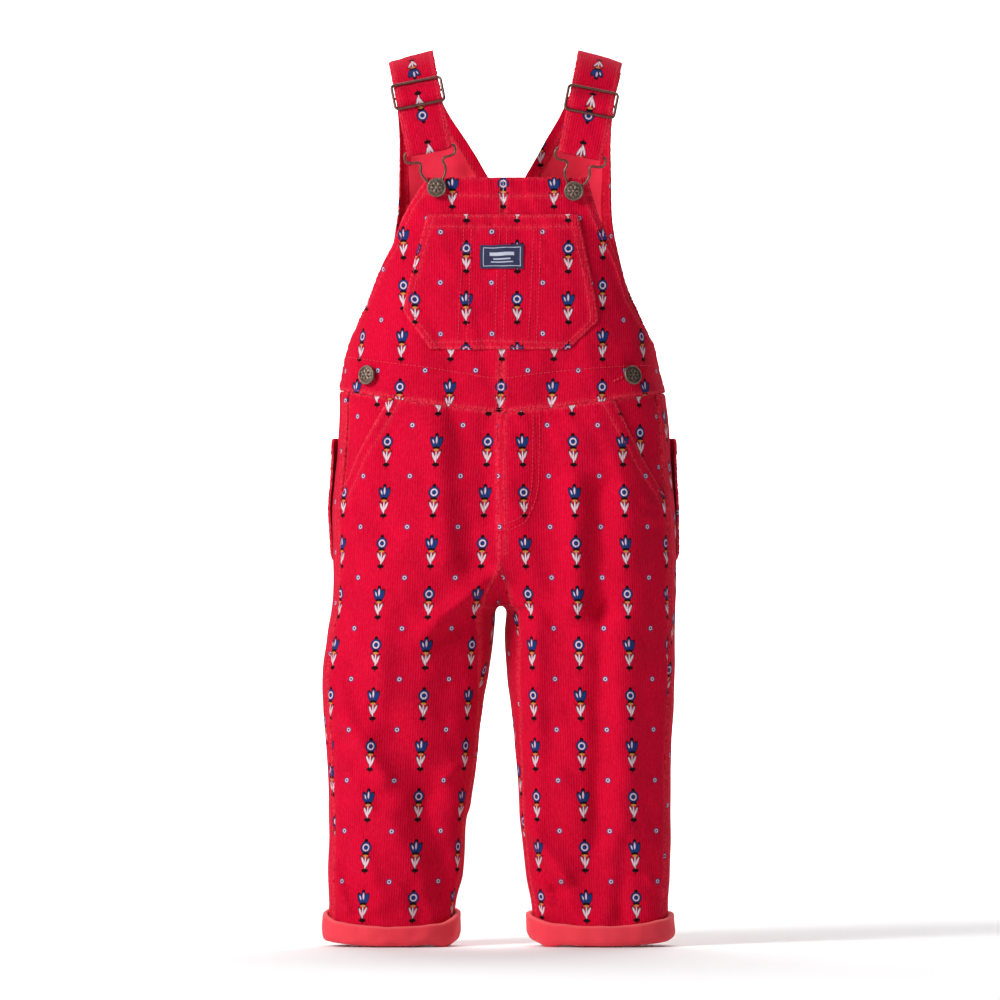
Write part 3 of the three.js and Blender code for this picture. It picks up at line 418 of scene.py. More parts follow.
FACE_RIPPLE = 0.22
ROLL_WIDTH = 1.3
STITCH_SINK = 0.22
PATCHY = 0.3                           # how unevenly edges and rows are worn


class Grid:
    """Rows of points on the cloth's outer face, with normals, flat coordinates and wear."""

    def __init__(self, points, normals, flat, edges=(), seed=0.0, side=1):
        across, down = running(points, 1), running(points, 0)
        self.reach = {
            "start": (across, down), "end": (across[:, -1:] - across, down),
            "top": (down, across), "bottom": (down[-1:] - down, across),
        }
        self.edges = dict(edges)
        self.normals, self.flat, self.side = normals, flat, side
        height = FACE_RIPPLE * ripple((points[..., 0] + 0.35 * points[..., 2]) * 0.33, seed)
        self.wear = np.zeros(points.shape[:2])
        for name, edge in self.edges.items():
            s, a = self.reach[name]
            turned = soft_step((edge.width + 1.2 - s) / 1.6) if edge.width else 0
            near = np.exp(-((s - edge.width / 2) / (edge.width / 2 + 2.5)) ** 2)
            height += edge.band * turned + edge.pucker * ripple(a, seed + len(name)) * near
            height -= edge.roll * np.exp(-(s / ROLL_WIDTH) ** 2)
            patchy = 0.7 + PATCHY * ripple(a * 1.7, seed)
            self.wear = np.maximum(self.wear, np.exp(-(s / 1.7) ** 2) * patchy)
            for distance, high, low in edge.rows:
                there = (points[..., 2] <= high) & (points[..., 2] >= low)
                height -= STITCH_SINK * np.exp(-((s - distance) / 1.0) ** 2) * there
                rubbed = np.exp(-((s - distance) / 1.7) ** 2) * there
                self.wear = np.maximum(self.wear, 0.55 * rubbed * patchy)
        self.points = points + normals * height[..., None]

    def line(self, name, distance, high, low):
        """Points and normals at a distance from one edge."""
        s = self.reach[name][0]
        points, normals = self.points, self.normals
        if name in ("top", "bottom"):
            s, points, normals = s.T, points.swapaxes(0, 1), normals.swapaxes(0, 1)
        if name in ("end", "bottom"):
            s, points, normals = s[:, ::-1], points[:, ::-1], normals[:, ::-1]
        found = []
        for row_s, row_p, row_n in zip(s, points, normals):
            at = [np.interp(distance, row_s, row_p[:, k]) for k in range(3)]
            if row_s[-1] > distance + 1 and low <= at[2] <= high:
                found.append(at + [np.interp(distance, row_s, row_n[:, k]) for k in range(3)])
        found = np.array(found).reshape(-1, 6)
        return found[:, :3], unit(found[:, 3:])

    def stitch_lines(self):
        return [self.line(name, *row) for name, edge in self.edges.items() for row in edge.rows]


NEAR_EDGE = np.array([0, 0.6, 1.3, 2.2, 3.4, 4.9])   # distances of the closer rows from an edge


def shares_of(length, step=STEP):
    """Shares of a length for a mesh, closer together at both ends."""
    near = NEAR_EDGE / length
    cells = max(int(round((length - 2 * NEAR_EDGE[-1]) / step)), 2)
    inner = np.linspace(near[-1], 1 - near[-1], cells + 1)
    return np.concatenate([near[:-1], inner, 1 - near[-2::-1]])


def across_rows(heights, count):
    return np.repeat(heights[:, None], count, axis=1)


def always(value):
    return lambda place: place * 0 + value


def panel_places(side, down, across, top, bottom, start, end):
    """(t, z) of a panel between two seam lines. top and bottom give a height at a place,
    start and end a place at a height."""
    def level(t):
        return mix(top(t), bottom(t), down)

    first, last = np.full_like(down, 0.5), np.full_like(down, 1.5)
    for _ in range(4):
        first, last = start(level(first)), end(level(last))
    t = even_places(side, level((first + last) / 2), first, last, across)
    return t, mix(top(t), bottom(t), down[:, None])


def flat_at(side, t, z, grain):
    """Flat coordinates of the printed cloth: across from the grain line, and up."""
    level = z.mean(axis=1)
    zero = np.zeros(len(level))
    places, lengths = arc_table(side, level, zero, zero + 5.5, 320)
    u = [np.interp(row, p, run) - np.interp(g, p, run)
         for row, p, run, g in zip(t, places, lengths, grain(side, level))]
    return np.stack([side * np.array(u), z], axis=-1)


def centre_front(side, z):
    return z * 0


def centre_back(side, z):
    return z * 0 + 4


def leg_grain(face):
    def grain(side, z):
        waist_x, hem_x = (-66, -87) if side < 0 else (66, 78)
        x = mix(waist_x, hem_x, np.clip((WAIST_FRONT - z) / (WAIST_FRONT - LEG_END), 0, 1))
        return place_at_x(side, x, z, face)
    return grain


def body_grid(side, t, z, grain, out=0.0, **kinds):
    points, normals = surface(side, t, z), normal(side, t, z)
    points = points + normals * np.asarray(out)[..., None]
    return Grid(points, normals, flat_at(side, t, z, grain), side=side, **kinds)


def linked(obj):
    bpy.context.scene.collection.objects.link(obj)
    return obj


def new_object(name, vertices, faces, materials, face_kinds=None):
    mesh = bpy.data.meshes.new(name)
    mesh.from_pydata((np.asarray(vertices) * MM).tolist(), [], [list(map(int, f)) for f in faces])
    for material in materials:
        mesh.materials.append(material)
    if face_kinds is not None:
        mesh.polygons.foreach_set("material_index", np.asarray(face_kinds, np.int32))
    mesh.polygons.foreach_set("use_smooth", [True] * len(mesh.polygons))
    mesh.update()
    return linked(bpy.data.objects.new(name, mesh))


def set_flat(obj, coordinates):
    layer = obj.data.uv_layers.new(name="Flat")
    layer.data.foreach_set("uv", coordinates.astype(np.float32).ravel())


def set_wear(obj, values):
    obj.data.attributes.new("wear", "FLOAT", "POINT").data.foreach_set("value", values.astype(np.float32))


def cells_of(grid, base):
    rows, columns = grid.points.shape[:2]
    a = base + np.arange(rows * columns).reshape(rows, columns)
    cells = np.stack([a[:-1, :-1], a[1:, :-1], a[1:, 1:], a[:-1, 1:]], axis=-1).reshape(-1, 4)
    return cells[:, ::-1] if grid.side < 0 else cells


def cloth(name, node, grids, held, rests_on, offset=(0, 0), turned_in=0, thickness=CLOTH, slot="corduroy",
          materials=None):
    """A thin closed wall from joined grids, which stands for one CAD node. offset moves its print, and
    turned_in is the width of printed allowance that shows on the inside along its starting edge."""
    points = np.concatenate([g.points.reshape(-1, 3) for g in grids])
    normals = np.concatenate([g.normals.reshape(-1, 3) for g in grids])
    flat = np.concatenate([g.flat.reshape(-1, 2) for g in grids]) + offset
    wear = np.concatenate([g.wear.reshape(-1) for g in grids])
    bases = np.cumsum([0] + [g.wear.size for g in grids[:-1]])
    cells = np.concatenate([cells_of(g, base) for g, base in zip(grids, bases)])
    _, first, merged = np.unique(np.round(points, 2), axis=0, return_index=True, return_inverse=True)
    joined = merged.reshape(-1)[cells]
    count = len(first)
    outer = points[first]
    vertices = np.concatenate([outer, outer - normals[first] * thickness])
    ends = np.stack([joined, np.roll(joined, -1, axis=1)], axis=-1).reshape(-1, 2)
    corners = np.stack([cells, np.roll(cells, -1, axis=1)], axis=-1).reshape(-1, 2)
    known = set(map(tuple, ends.tolist()))
    rim = [k for k, (a, b) in enumerate(ends.tolist()) if (b, a) not in known and a != b]
    rim_faces = [(ends[k][1], ends[k][0], ends[k][0] + count, ends[k][1] + count) for k in rim]
    faces = [*joined.tolist(), *(joined[:, ::-1] + count).tolist(), *rim_faces]
    from_edge = np.concatenate([g.reach["start"][0].reshape(-1) for g in grids])[cells].mean(axis=1)
    kinds = [0] * len(joined) + (from_edge > turned_in).astype(int).tolist() + [0] * len(rim_faces)
    obj = new_object(name, vertices, faces, materials or CORD, kinds)
    sources = [cells.reshape(-1), cells[:, ::-1].reshape(-1)]
    sources += [corners[k][[1, 0, 0, 1]] for k in rim]
    set_flat(obj, flat[np.concatenate(sources)])
    set_wear(obj, np.tile(wear[first], 2))
    obj.data.set_sharp_from_angle(angle=math.radians(60))
    area = sheet_area(points, cells)
    width = max(g.reach["start"][0][:, -1].max() for g in grids)
    length = sum(g.reach["top"][0][-1].max() for g in grids[:2])
    finish_cloth(obj, node, (width, length), area, grids)


NARROWEST_CUT = 10.5               # the neck band is cut a little wider than it shows


def sheet_area(points, cells):
    a, b, c, d = (points[cells[:, k]] for k in range(4))
    return float(np.linalg.norm(np.cross(c - a, d - b), axis=1).sum() / 2)


def side_cloth(part, name, grids, held, rests_on, **settings):
    """The cloth of one side's node, named after it."""
    cloth(f"{part}_cloth_{name}", f"{part}_{name}", grids, held, [f"{piece}_{name}" for piece in rests_on],
          **settings)


def finish_cloth(obj, node, size, area, grids):
    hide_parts(node)
    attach(obj, "root")
    lines = [line for g in grids for line in g.stitch_lines()]
    sewn = [stitches(f"{obj.name}_stitching", lines)] if lines else []
    width, length = max(size[0], NARROWEST_CUT), size[1]
    cut = np.clip(area, 0.3 * width * length, width * length)
    width * MM
    length * MM


# Thread
STITCH_LENGTH = 2.5
STITCH_PITCH = 3.2
STITCH_HALF_WIDTH = 0.33
STITCH_LIFT = 0.12
STITCH_SIDES = 6


def smooth_line(points, step, closed=False):
    """A smooth curve through points, sampled about every step."""
    p = np.asarray(points, float)
    ring = np.vstack([p[-1], p, p[:2]]) if closed else np.vstack([2 * p[0] - p[1], p, 2 * p[-1] - p[-2]])
    found = []
    for i in range(1, len(ring) - 2):
        p0, p1, p2, p3 = ring[i - 1:i + 3]
        gaps = [max(np.linalg.norm(b - a), 1e-6) ** 0.5 for a, b in ((p0, p1), (p1, p2), (p2, p3))]
        m1 = gaps[1] * ((p1 - p0) / gaps[0] - (p2 - p0) / (gaps[0] + gaps[1]) + (p2 - p1) / gaps[1])
        m2 = gaps[1] * ((p2 - p1) / gaps[1] - (p3 - p1) / (gaps[1] + gaps[2]) + (p3 - p2) / gaps[2])
        s = np.linspace(0, 1, max(int(np.linalg.norm(p2 - p1) / step), 1) + 1)[:-1, None]
        found.append(p1 * (1 + 2 * s) * (1 - s) ** 2 + m1 * s * (1 - s) ** 2
                     + p2 * s * s * (3 - 2 * s) + m2 * s * s * (s - 1))
    if not closed:
        found.append(p[-1:])
    return np.vstack(found)


def stitches(name, lines):
    """Separate running stitches along lines of points and normals, as one mesh."""
    rings = [(-0.4, 0.75), (0, 1.0), (0.4, 0.75)]
    angles = np.linspace(0, 2 * math.pi, STITCH_SIDES, endpoint=False)
    template = [(a, r * math.cos(b), r * math.sin(b)) for a, r in rings for b in angles]
    template = np.array([(-0.5, 0, 0), *template, (0.5, 0, 0)])
    template *= (STITCH_LENGTH, STITCH_HALF_WIDTH, STITCH_HALF_WIDTH * 0.8)
    last = len(template) - 1
    pairs = [(k, (k + 1) % STITCH_SIDES) for k in range(STITCH_SIDES)]
    starts = [1 + STITCH_SIDES * ring for ring in range(len(rings))]
    faces = [(0, 1 + b, 1 + a) for a, b in pairs]
    for low, high in zip(starts, starts[1:]):
        faces += [(low + a, low + b, high + b, high + a) for a, b in pairs]
    faces += [(last, starts[-1] + a, starts[-1] + b) for a, b in pairs]
    vertices, all_faces = [], []
    for points, normals in lines:
        if len(points) < 2:
            continue
        run = running(points, 0)
        at = np.arange(STITCH_PITCH / 2, run[-1] - STITCH_PITCH / 2, STITCH_PITCH)
        place, up, ahead, behind = (
            np.stack([np.interp(at + d, run, v[:, k]) for k in range(3)], axis=-1)
            for v, d in ((points, 0), (normals, 0), (points, 1.2), (points, -1.2)))
        along, up = unit(ahead - behind), unit(up)
        across = np.cross(up, along)
        for p, t, b, n in zip(place + up * STITCH_LIFT, along, across, up):
            all_faces += [[len(vertices) * len(template) + k for k in face] for face in faces]
            vertices.append(p + template @ np.array([t, b, n]))
    obj = new_object(name, np.concatenate(vertices), all_faces, [THREAD])
    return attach(obj, "root")


def on_front(x, z, out):
    """Points at a height over the front, on whichever half each x lies, and the normals there."""
    points, normals = np.empty((*x.shape, 3)), np.empty((*x.shape, 3))
    on_left = x < CENTRE(z, "front")
    for side, chosen in ((-1, on_left), (1, ~on_left)):
        if chosen.any():
            t = place_at_x(side, x[chosen], z[chosen])
            normals[chosen] = normal(side, t, z[chosen])
            points[chosen] = surface(side, t, z[chosen]) + normals[chosen] * out
    return points, normals


def front_line(points, out, step=2.0):
    """A line on the front through (x, z) points."""
    return on_front(*smooth_line(points, step).T, out)


# Materials
def add_node(tree, kind, inputs, **settings):
    """The outputs of a new node. Its inputs, by name or place, are numbers, colours, sockets or terms."""
    node = tree.nodes.new("ShaderNode" + kind)
    for key, value in settings.items():
        setattr(node, key, value)
    for place, value in inputs.items():
        if isinstance(value, Term):
            value = value.socket
        if isinstance(value, bpy.types.NodeSocket):
            tree.links.new(value, node.inputs[place])
        else:
            node.inputs[place].default_value = value
    return node.outputs


class Term:
    """A number in a node tree, so that arithmetic on it reads as arithmetic."""

    def __init__(self, tree, socket):
        self.tree, self.socket = tree, socket

    def apply(self, operation, *others, clamp=False):
        terms = dict(enumerate((self, *others)))
        return Term(self.tree, add_node(self.tree, "Math", terms, operation=operation, use_clamp=clamp)[0])

    def __add__(self, other):
        return self.apply("ADD", other)

    def __sub__(self, other):
        return self.apply("SUBTRACT", other)

    def __mul__(self, other):
        return self.apply("MULTIPLY", other)

    def __truediv__(self, other):
        return self.apply("DIVIDE", other)

    def least(self, other):
        return self.apply("MINIMUM", other)

    def size(self):
        return self.apply("ABSOLUTE")

    def clamped(self):
        return self.apply("ADD", 0.0, clamp=True)

    def wave(self, pitch):
        """Rises and falls between 0 and 1."""
        return (self * (2 * math.pi / pitch)).apply("SINE") * 0.5 + 0.5


def colour(red, green, blue):
    """A display colour of 0 to 255 as Blender's linear colour."""
    return tuple((c / 255 / 12.92 if c < 11 else ((c / 255 + 0.055) / 1.055) ** 2.4)
                 for c in (red, green, blue)) + (1.0,)


def new_material(name, **settings):
    material = bpy.data.materials.new(name)
    material.use_nodes = True
    shader = material.node_tree.nodes["Principled BSDF"]
    for key, value in settings.items():
        shader.inputs[key.replace("_", " ")].default_value = value
    return material, material.node_tree, shader


def blend(tree, factor, a, b):
    """Colour a turning into b."""
    return add_node(tree, "Mix", {0: factor, 6: a, 7: b}, data_type="RGBA")[2]


def noise(tree, vector, scale, detail=2.0, roughness=0.5):
    inputs = {"Vector": vector, "Scale": scale, "Detail": detail, "Roughness": roughness}
    return Term(tree, add_node(tree, "TexNoise", inputs)["Fac"])


def combined(tree, x, y):
    return add_node(tree, "CombineXYZ", {0: x, 1: y})[0]


def flat_terms(tree):
    place = add_node(tree, "UVMap", {}, uv_map="Flat")[0]
    return [Term(tree, part) for part in list(add_node(tree, "SeparateXYZ", {0: place}))[:2]]


def attribute_term(tree, name):
    return Term(tree, add_node(tree, "Attribute", {}, attribute_name=name)["Fac"])


def object_place(tree):
    return tree.nodes.new("ShaderNodeTexCoord").outputs["Object"]


def paint(tree, shader, ground):
    tree.links.new(ground, shader.inputs["Base Color"])


def bump(tree, shader, height, distance, strength):
    inputs = {"Distance": distance * MM, "Strength": strength, "Height": height}
    tree.links.new(add_node(tree, "Bump", inputs)[0], shader.inputs["Normal"])


# The print: two flower sprigs that take turns on a straight square grid, with a rosette in each square
PRINT_PITCH = 39.4
INK_EDGE = 0.3
INK_BLUE = colour(24, 50, 104)
INK_WHITE = colour(206, 178, 188)
INK_BLACK = colour(24, 8, 14)
INK_YELLOW = colour(178, 128, 54)


def oval(x, y, centre, radii, turn=0.0):
    """About how far a point is outside an oval."""
    c, s = math.cos(math.radians(turn)), math.sin(math.radians(turn))
    dx, dy = x - centre[0], y - centre[1]
    across, up = (dx * c + dy * s) / radii[0], (dy * c - dx * s) / radii[1]
    return ((across * across + up * up).apply("SQRT") - 1.0) * min(radii)


def inked(distance, grow=0.0):
    return (distance / -INK_EDGE + (0.5 + grow / INK_EDGE)).clamped()


def printed(tree, u, v, ground):
    """The ground colour with the print on it."""
    across, up = u / PRINT_PITCH, v / PRINT_PITCH
    column, row = across.apply("FLOOR"), up.apply("FLOOR")
    second = (column + row).apply("FLOORED_MODULO", 2.0)
    first = second * -1.0 + 1.0
    x = (across - column - 0.5) * PRINT_PITCH * (second * -2.0 + 1.0)
    y = (up - row - 0.5) * PRINT_PITCH

    def shape(*ovals):
        """The union of some ovals, each (centre, radii) or (centre, radii, turn)."""
        found = oval(x, y, *ovals[0])
        for other in ovals[1:]:
            found = found.least(oval(x, y, *other))
        return found

    tulip = shape(((-2.4, 6.0), (1.7, 4.3), 20), ((2.4, 6.0), (1.7, 4.3), -20), ((0, 6.9), (1.9, 4.9)))
    vein = shape(((0, 8.2), (0.7, 2.6)), ((-2.5, 7.0), (0.5, 1.7), 20))
    leaf = shape(((-1.6, -5.0), (0.85, 3.9), 22), ((1.7, -3.8), (0.85, 3.6), -24), ((0, -4.6), (0.6, 5.6)))
    bloom = shape(((0, 7.0), (4.1, 4.3))) * second + tulip * first
    ring = shape(((0, 7.0), (2.3, 2.4))).size() - 0.5
    layers = [
        (inked(leaf, 0.4), INK_BLACK), (inked(leaf), INK_WHITE),
        (inked(shape(((0, -10.9), (2.8, 1.5)))), INK_BLACK),
        (inked(shape(((0, 12.0), (1.5, 1.7)))), INK_BLACK),
        (inked(bloom, 0.45), INK_BLACK), (inked(bloom), INK_BLUE),
        (inked(ring * second + vein * first), INK_WHITE),
        (inked(shape(((0, 2.1), (2.8, 1.3)))), INK_BLACK),
        (inked(shape(((0, 0.6), (1.9, 0.85)))), INK_YELLOW),
    ]
    half_x = ((across + 0.5).apply("FRACT") - 0.5) * PRINT_PITCH
    half_y = ((up + 0.5).apply("FRACT") - 0.5) * PRINT_PITCH
    rosette = oval(half_x, half_y, (0, 0), (2.3, 2.3))
    petals = rosette.apply("ADD", 1.1).size() - 0.4
    layers += [(inked(rosette), INK_BLUE), (inked(petals), INK_WHITE)]
    for mask, ink in layers:
        ground = blend(tree, mask, ground, ink)
    return ground


WALE = 1.95                        # pitch of the corduroy's ridges
CORD_RIDGE = colour(206, 0, 45)
# The groove colour is painted shade: the grooves between the ridges are painted darker than the ridges
CORD_GROOVE_PAINTED_SHADE = colour(170, 0, 34)
CORD_WORN = colour(238, 76, 92)


def corduroy():
    material, tree, shader = new_material(
        "corduroy_printed", Roughness=0.9, Specular_IOR_Level=0.07,
        Sheen_Weight=0.35, Sheen_Roughness=0.36, Sheen_Tint=colour(255, 84, 108))
    u, v = flat_terms(tree)
    nap = noise(tree, combined(tree, u * 1.1, v * 0.3), 1.0, 3.0, 0.65)
    wander = (noise(tree, combined(tree, u * 0.05, v * 0.05), 1.0) - 0.5) * 1.6
    ridge = ((u + wander) * (2 * math.pi / WALE)).apply("COSINE") * 0.5 + 0.5
    # Painted shade: the grooves between the ridges are painted darker, and the nap noise varies the tone at
    # random
    nap_and_painted_groove_shade = ridge * 0.7 + nap * 0.8 - 0.15
    ground = blend(tree, nap_and_painted_groove_shade.clamped(), CORD_GROOVE_PAINTED_SHADE, CORD_RIDGE)
    brushed = noise(tree, object_place(tree), 34.0, 4.0, 0.6)
    ground = blend(tree, (brushed - 0.4).apply("MULTIPLY", 1.8, clamp=True), ground, colour(168, 0, 34))
    mottle = noise(tree, object_place(tree), 460.0, 4.0, 0.65)
    ground = blend(tree, (mottle - 0.42).apply("MULTIPLY", 1.0, clamp=True), ground, colour(226, 32, 68))
    speckle = noise(tree, combined(tree, u * 0.55, v * 0.42), 1.0, 2.0)
    beads = (speckle * 3.2 - 1.15).clamped()
    worn = attribute_term(tree, "wear") * beads
    ground = blend(tree, worn * 0.7, ground, CORD_WORN)
    paint(tree, shader, printed(tree, u, v, ground))
    bump(tree, shader, ridge * 0.7 + nap * 0.8 + mottle * 0.7 + worn * 1.4, 0.5, 0.6)
    return material


def corduroy_back():
    """The wrong side of the cloth: plain, flat and paler."""
    material, tree, shader = new_material("corduroy_back", Roughness=0.95, Specular_IOR_Level=0.12)
    u, v = flat_terms(tree)
    weave = (u * 7.0).apply("SINE") * (v * 7.0).apply("SINE")
    patchy = noise(tree, object_place(tree), 60.0)
    shade = (weave * 0.25 + patchy * 0.6 + 0.2).clamped()
    paint(tree, shader, blend(tree, shade, colour(206, 24, 52), colour(246, 62, 86)))
    fuzz = noise(tree, object_place(tree), 420.0, 3.0, 0.6)
    bump(tree, shader, weave * 0.3 + fuzz, 0.4, 0.5)
    return material


def cuff_cloth():
    material, tree, shader = new_material(
        "cuff_cloth", Roughness=0.88, Specular_IOR_Level=0.2,
        Sheen_Weight=0.25, Sheen_Roughness=0.5, Sheen_Tint=colour(255, 170, 170))
    u, v = flat_terms(tree)
    rib = u.wave(0.9)
    weft = v.wave(1.1)
    patchy = noise(tree, object_place(tree), 45.0, 3.0)
    tone = (rib * weft * 0.35 + patchy * 0.65).clamped()
    ground = blend(tree, tone, colour(206, 42, 60), colour(232, 70, 82))
    worn = attribute_term(tree, "wear") * 0.5
    paint(tree, shader, blend(tree, worn, ground, colour(250, 120, 120)))
    bump(tree, shader, rib * weft + patchy * 0.6, 0.25, 0.5)
    return material


def label_cloth():
    """Woven navy label with a pale border line and three plain bars."""
    material, tree, shader = new_material("label_cloth", Roughness=0.7, Specular_IOR_Level=0.3)
    u, v = flat_terms(tree)
    threads = v.wave(0.5) * u.wave(0.5)
    ground = blend(tree, threads, colour(30, 32, 62), colour(52, 56, 96))
    y = (v - (LABEL_EDGES[0][0] + LABEL_EDGES[-1][0]) / 2)
    frame_line = (u.size() - 14.2).apply("MAXIMUM", y.size() - 7.0).size() - 0.25
    bars = [((y - level).size() - high).apply("MAXIMUM", u.size() - reach)
            for level, high, reach in ((2.2, 1.3, 9.5), (-1.6, 0.5, 6.5), (-4.0, 0.4, 8.5))]
    for distance in (frame_line, *bars):
        ground = blend(tree, inked(distance), ground, colour(176, 180, 196))
    paint(tree, shader, ground)
    bump(tree, shader, threads, 0.12, 0.6)
    return material


def thread():
    material, tree, shader = new_material("thread", Roughness=0.75, Specular_IOR_Level=0.25)
    patchy = noise(tree, object_place(tree), 300.0)
    paint(tree, shader, blend(tree, patchy, colour(196, 12, 44), colour(226, 58, 78)))
    bump(tree, shader, patchy, 0.1, 0.5)
    return material


def brass(name, light, dark, roughness):
    """Old brass: bright where it is rubbed, dark in its recesses."""
    material, tree, shader = new_material(name, Metallic=0.85, Specular_IOR_Level=0.4)
    patchy = noise(tree, object_place(tree), 420.0, 4.0)
    recess = attribute_term(tree, "wear")
    tone = (patchy * 0.7 + recess * 0.9 - 0.25).clamped()
    paint(tree, shader, blend(tree, tone, dark, light))
    tree.links.new((patchy * 0.25 + roughness).socket, shader.inputs["Roughness"])
    bump(tree, shader, patchy, 0.12, 0.35)
    return material


LABEL_EDGES = [(-147.4, -16.6, 16.6), (-156.5, -16.8, 16.4), (-165.6, -17, 16.2)]
PRINTED = corduroy()
WRONG_SIDE = corduroy_back()
CUFF = cuff_cloth()
LABEL_CLOTH = label_cloth()
THREAD = thread()
BUTTON_BRASS = brass("button_brass", colour(134, 114, 102), colour(34, 26, 22), 0.36)
WIRE_BRASS = brass("wire_brass", colour(132, 92, 82), colour(52, 30, 28), 0.28)
CORD = [PRINTED, WRONG_SIDE]


# Panels
def make_bib(name, side):
    edge_rows = ((1.6, NO_TOP, ARMHOLE_FOOT), (6.6, NO_TOP, ARMHOLE_FOOT - 26))
    t, z = panel_places(side, shares_of(175), shares_of(95), always(BIB_TOP),
                        lambda t: waist(side, t) + SEAM_GAP, always(0), lambda z: bib_edge(side, z))
    grid = body_grid(side, t, z, centre_front, seed=1 + side * 0.3, edges={
        "top": Edge(1.4, 0.5, 14, ((14.8, *ALL),), 0.3),
        "start": Edge(0.8, 0.35, 6, ((2.6, *ALL),), 0.25),
        "end": Edge(1.3, 0.55, 8, edge_rows, 0.34),
        "bottom": Edge(0.7, 0.3, 5, ((2.0, *ALL),), 0.3),
    })
    side_cloth("bib", name, [grid], "hung", ["hook_wire", "button_bib_head"], offset=(19.7, 8))


def make_back_bib(name, side):
    t, z = panel_places(side, shares_of(245), shares_of(60), always(BACK_TOP),
                        lambda t: waist(side, t) + SEAM_GAP, lambda z: back_edge(side, z),
                        lambda z: neck_edge(side, z))
    grid = body_grid(side, t, z, centre_back, seed=2 + side * 0.4, edges={
        "top": HEM, "start": Edge(1.2, 0.5, 8, doubled(1.6, 5), 0.34),
        "end": STITCHED, "bottom": SEAM,
    })
    side_cloth("back_bib", name, [grid], "hung", ["strap_webbing"], offset=(6, 20), turned_in=9)


def make_facing(name, side):
    z = mix(FACING_TOP, NECK_POINT + 3, shares_of(100))
    inner = neck_edge(side, z)
    outer = place_at_x(side, NECK(z, side) + side * FACING_WIDTH(z, "width"), z, "back")
    t = outer[:, None] + (inner - outer)[:, None] * np.linspace(0, 1, 6)
    z = across_rows(z, 6)
    grid = body_grid(side, t, z, centre_back, out=-CLOTH - FACING_GAP, seed=3,
                     edges={"start": Edge(0.3, 0, 0, (), 0)})
    cloth(f"neck_facing_{name}", f"back_facing_{name}", [grid], "laid", [f"back_bib_cloth_{name}"],
          offset=(6, 12), thickness=FACING, materials=[PRINTED, PRINTED])


def rows_below_hip():
    """Heights from the hip down to the crotch, then down the leg."""
    seat = mix(HIP, CROTCH, np.sin(np.linspace(0, math.pi / 2, int(46 * 2.1 / STEP))[1:]))
    arch = np.array([-428.1, -428.9, -430.1, -431.8, -434, -437])
    leg = np.linspace(-440, LEG_END, int((LEG_END + 440) / -STEP))
    return seat, np.concatenate([arch, leg])


def make_front_leg(name, side):
    def outer(z):
        return np.where(z > POCKET_FOOT, pocket_mouth(side, z), beside(side_seam, side, -SEAM_GAP / 2)(z))

    def inner(z):
        return np.where(z > FORK, 0, beside(inseam, side, SEAM_GAP / 2)(z))

    rows = ((2.4, FORK + 4, NO_FOOT),) + (((5.6, NO_TOP, FORK + 8),) if side > 0 else ())
    across = shares_of(110)
    t, z = panel_places(side, shares_of(80)[:-3], across, lambda t: waist(side, t) - SEAM_GAP,
                        always(HIP), inner, outer)
    levels = np.concatenate(rows_below_hip())
    t = np.vstack([t, even_places(side, levels, inner(levels), outer(levels), across)])
    z = np.vstack([z, across_rows(levels, len(across))])
    grid = body_grid(side, t, z, leg_grain("front"), seed=4 + side * 0.5, edges={
        "top": Edge(1.0, 0.3, 5, (), 0.34),
        "start": Edge(0.15, 0.15, 5, rows, 0.2),
        "end": Edge(1.1, 0.5, 9, ((1.8, NO_TOP, POCKET_FOOT), (10.6, NO_TOP, POCKET_FOOT - 8)), 0.3),
    })
    side_cloth("front_leg", name, [grid], "hung", ["bib_cloth"], offset=(3 if side < 0 else -8, 11))


def make_side_panel(name, side):
    t, z = panel_places(side, shares_of(80), shares_of(22), lambda t: waist(side, t) - SEAM_GAP,
                        always(POCKET_FOOT + 4),
                        beside(pocket_mouth, side, -1.5), beside(side_seam, side, -SEAM_GAP / 2))
    grid = body_grid(side, t, z, leg_grain("front"), out=-SIDE_PANEL_SET_BACK, seed=5,
                     edges={"end": Edge(0.3, 0.1, 4, (), 0.2), "top": Edge(0.3, 0, 0, (), 0.2)})
    side_cloth("side_panel", name, [grid], "hung", ["bib_cloth"], offset=(14, 4))


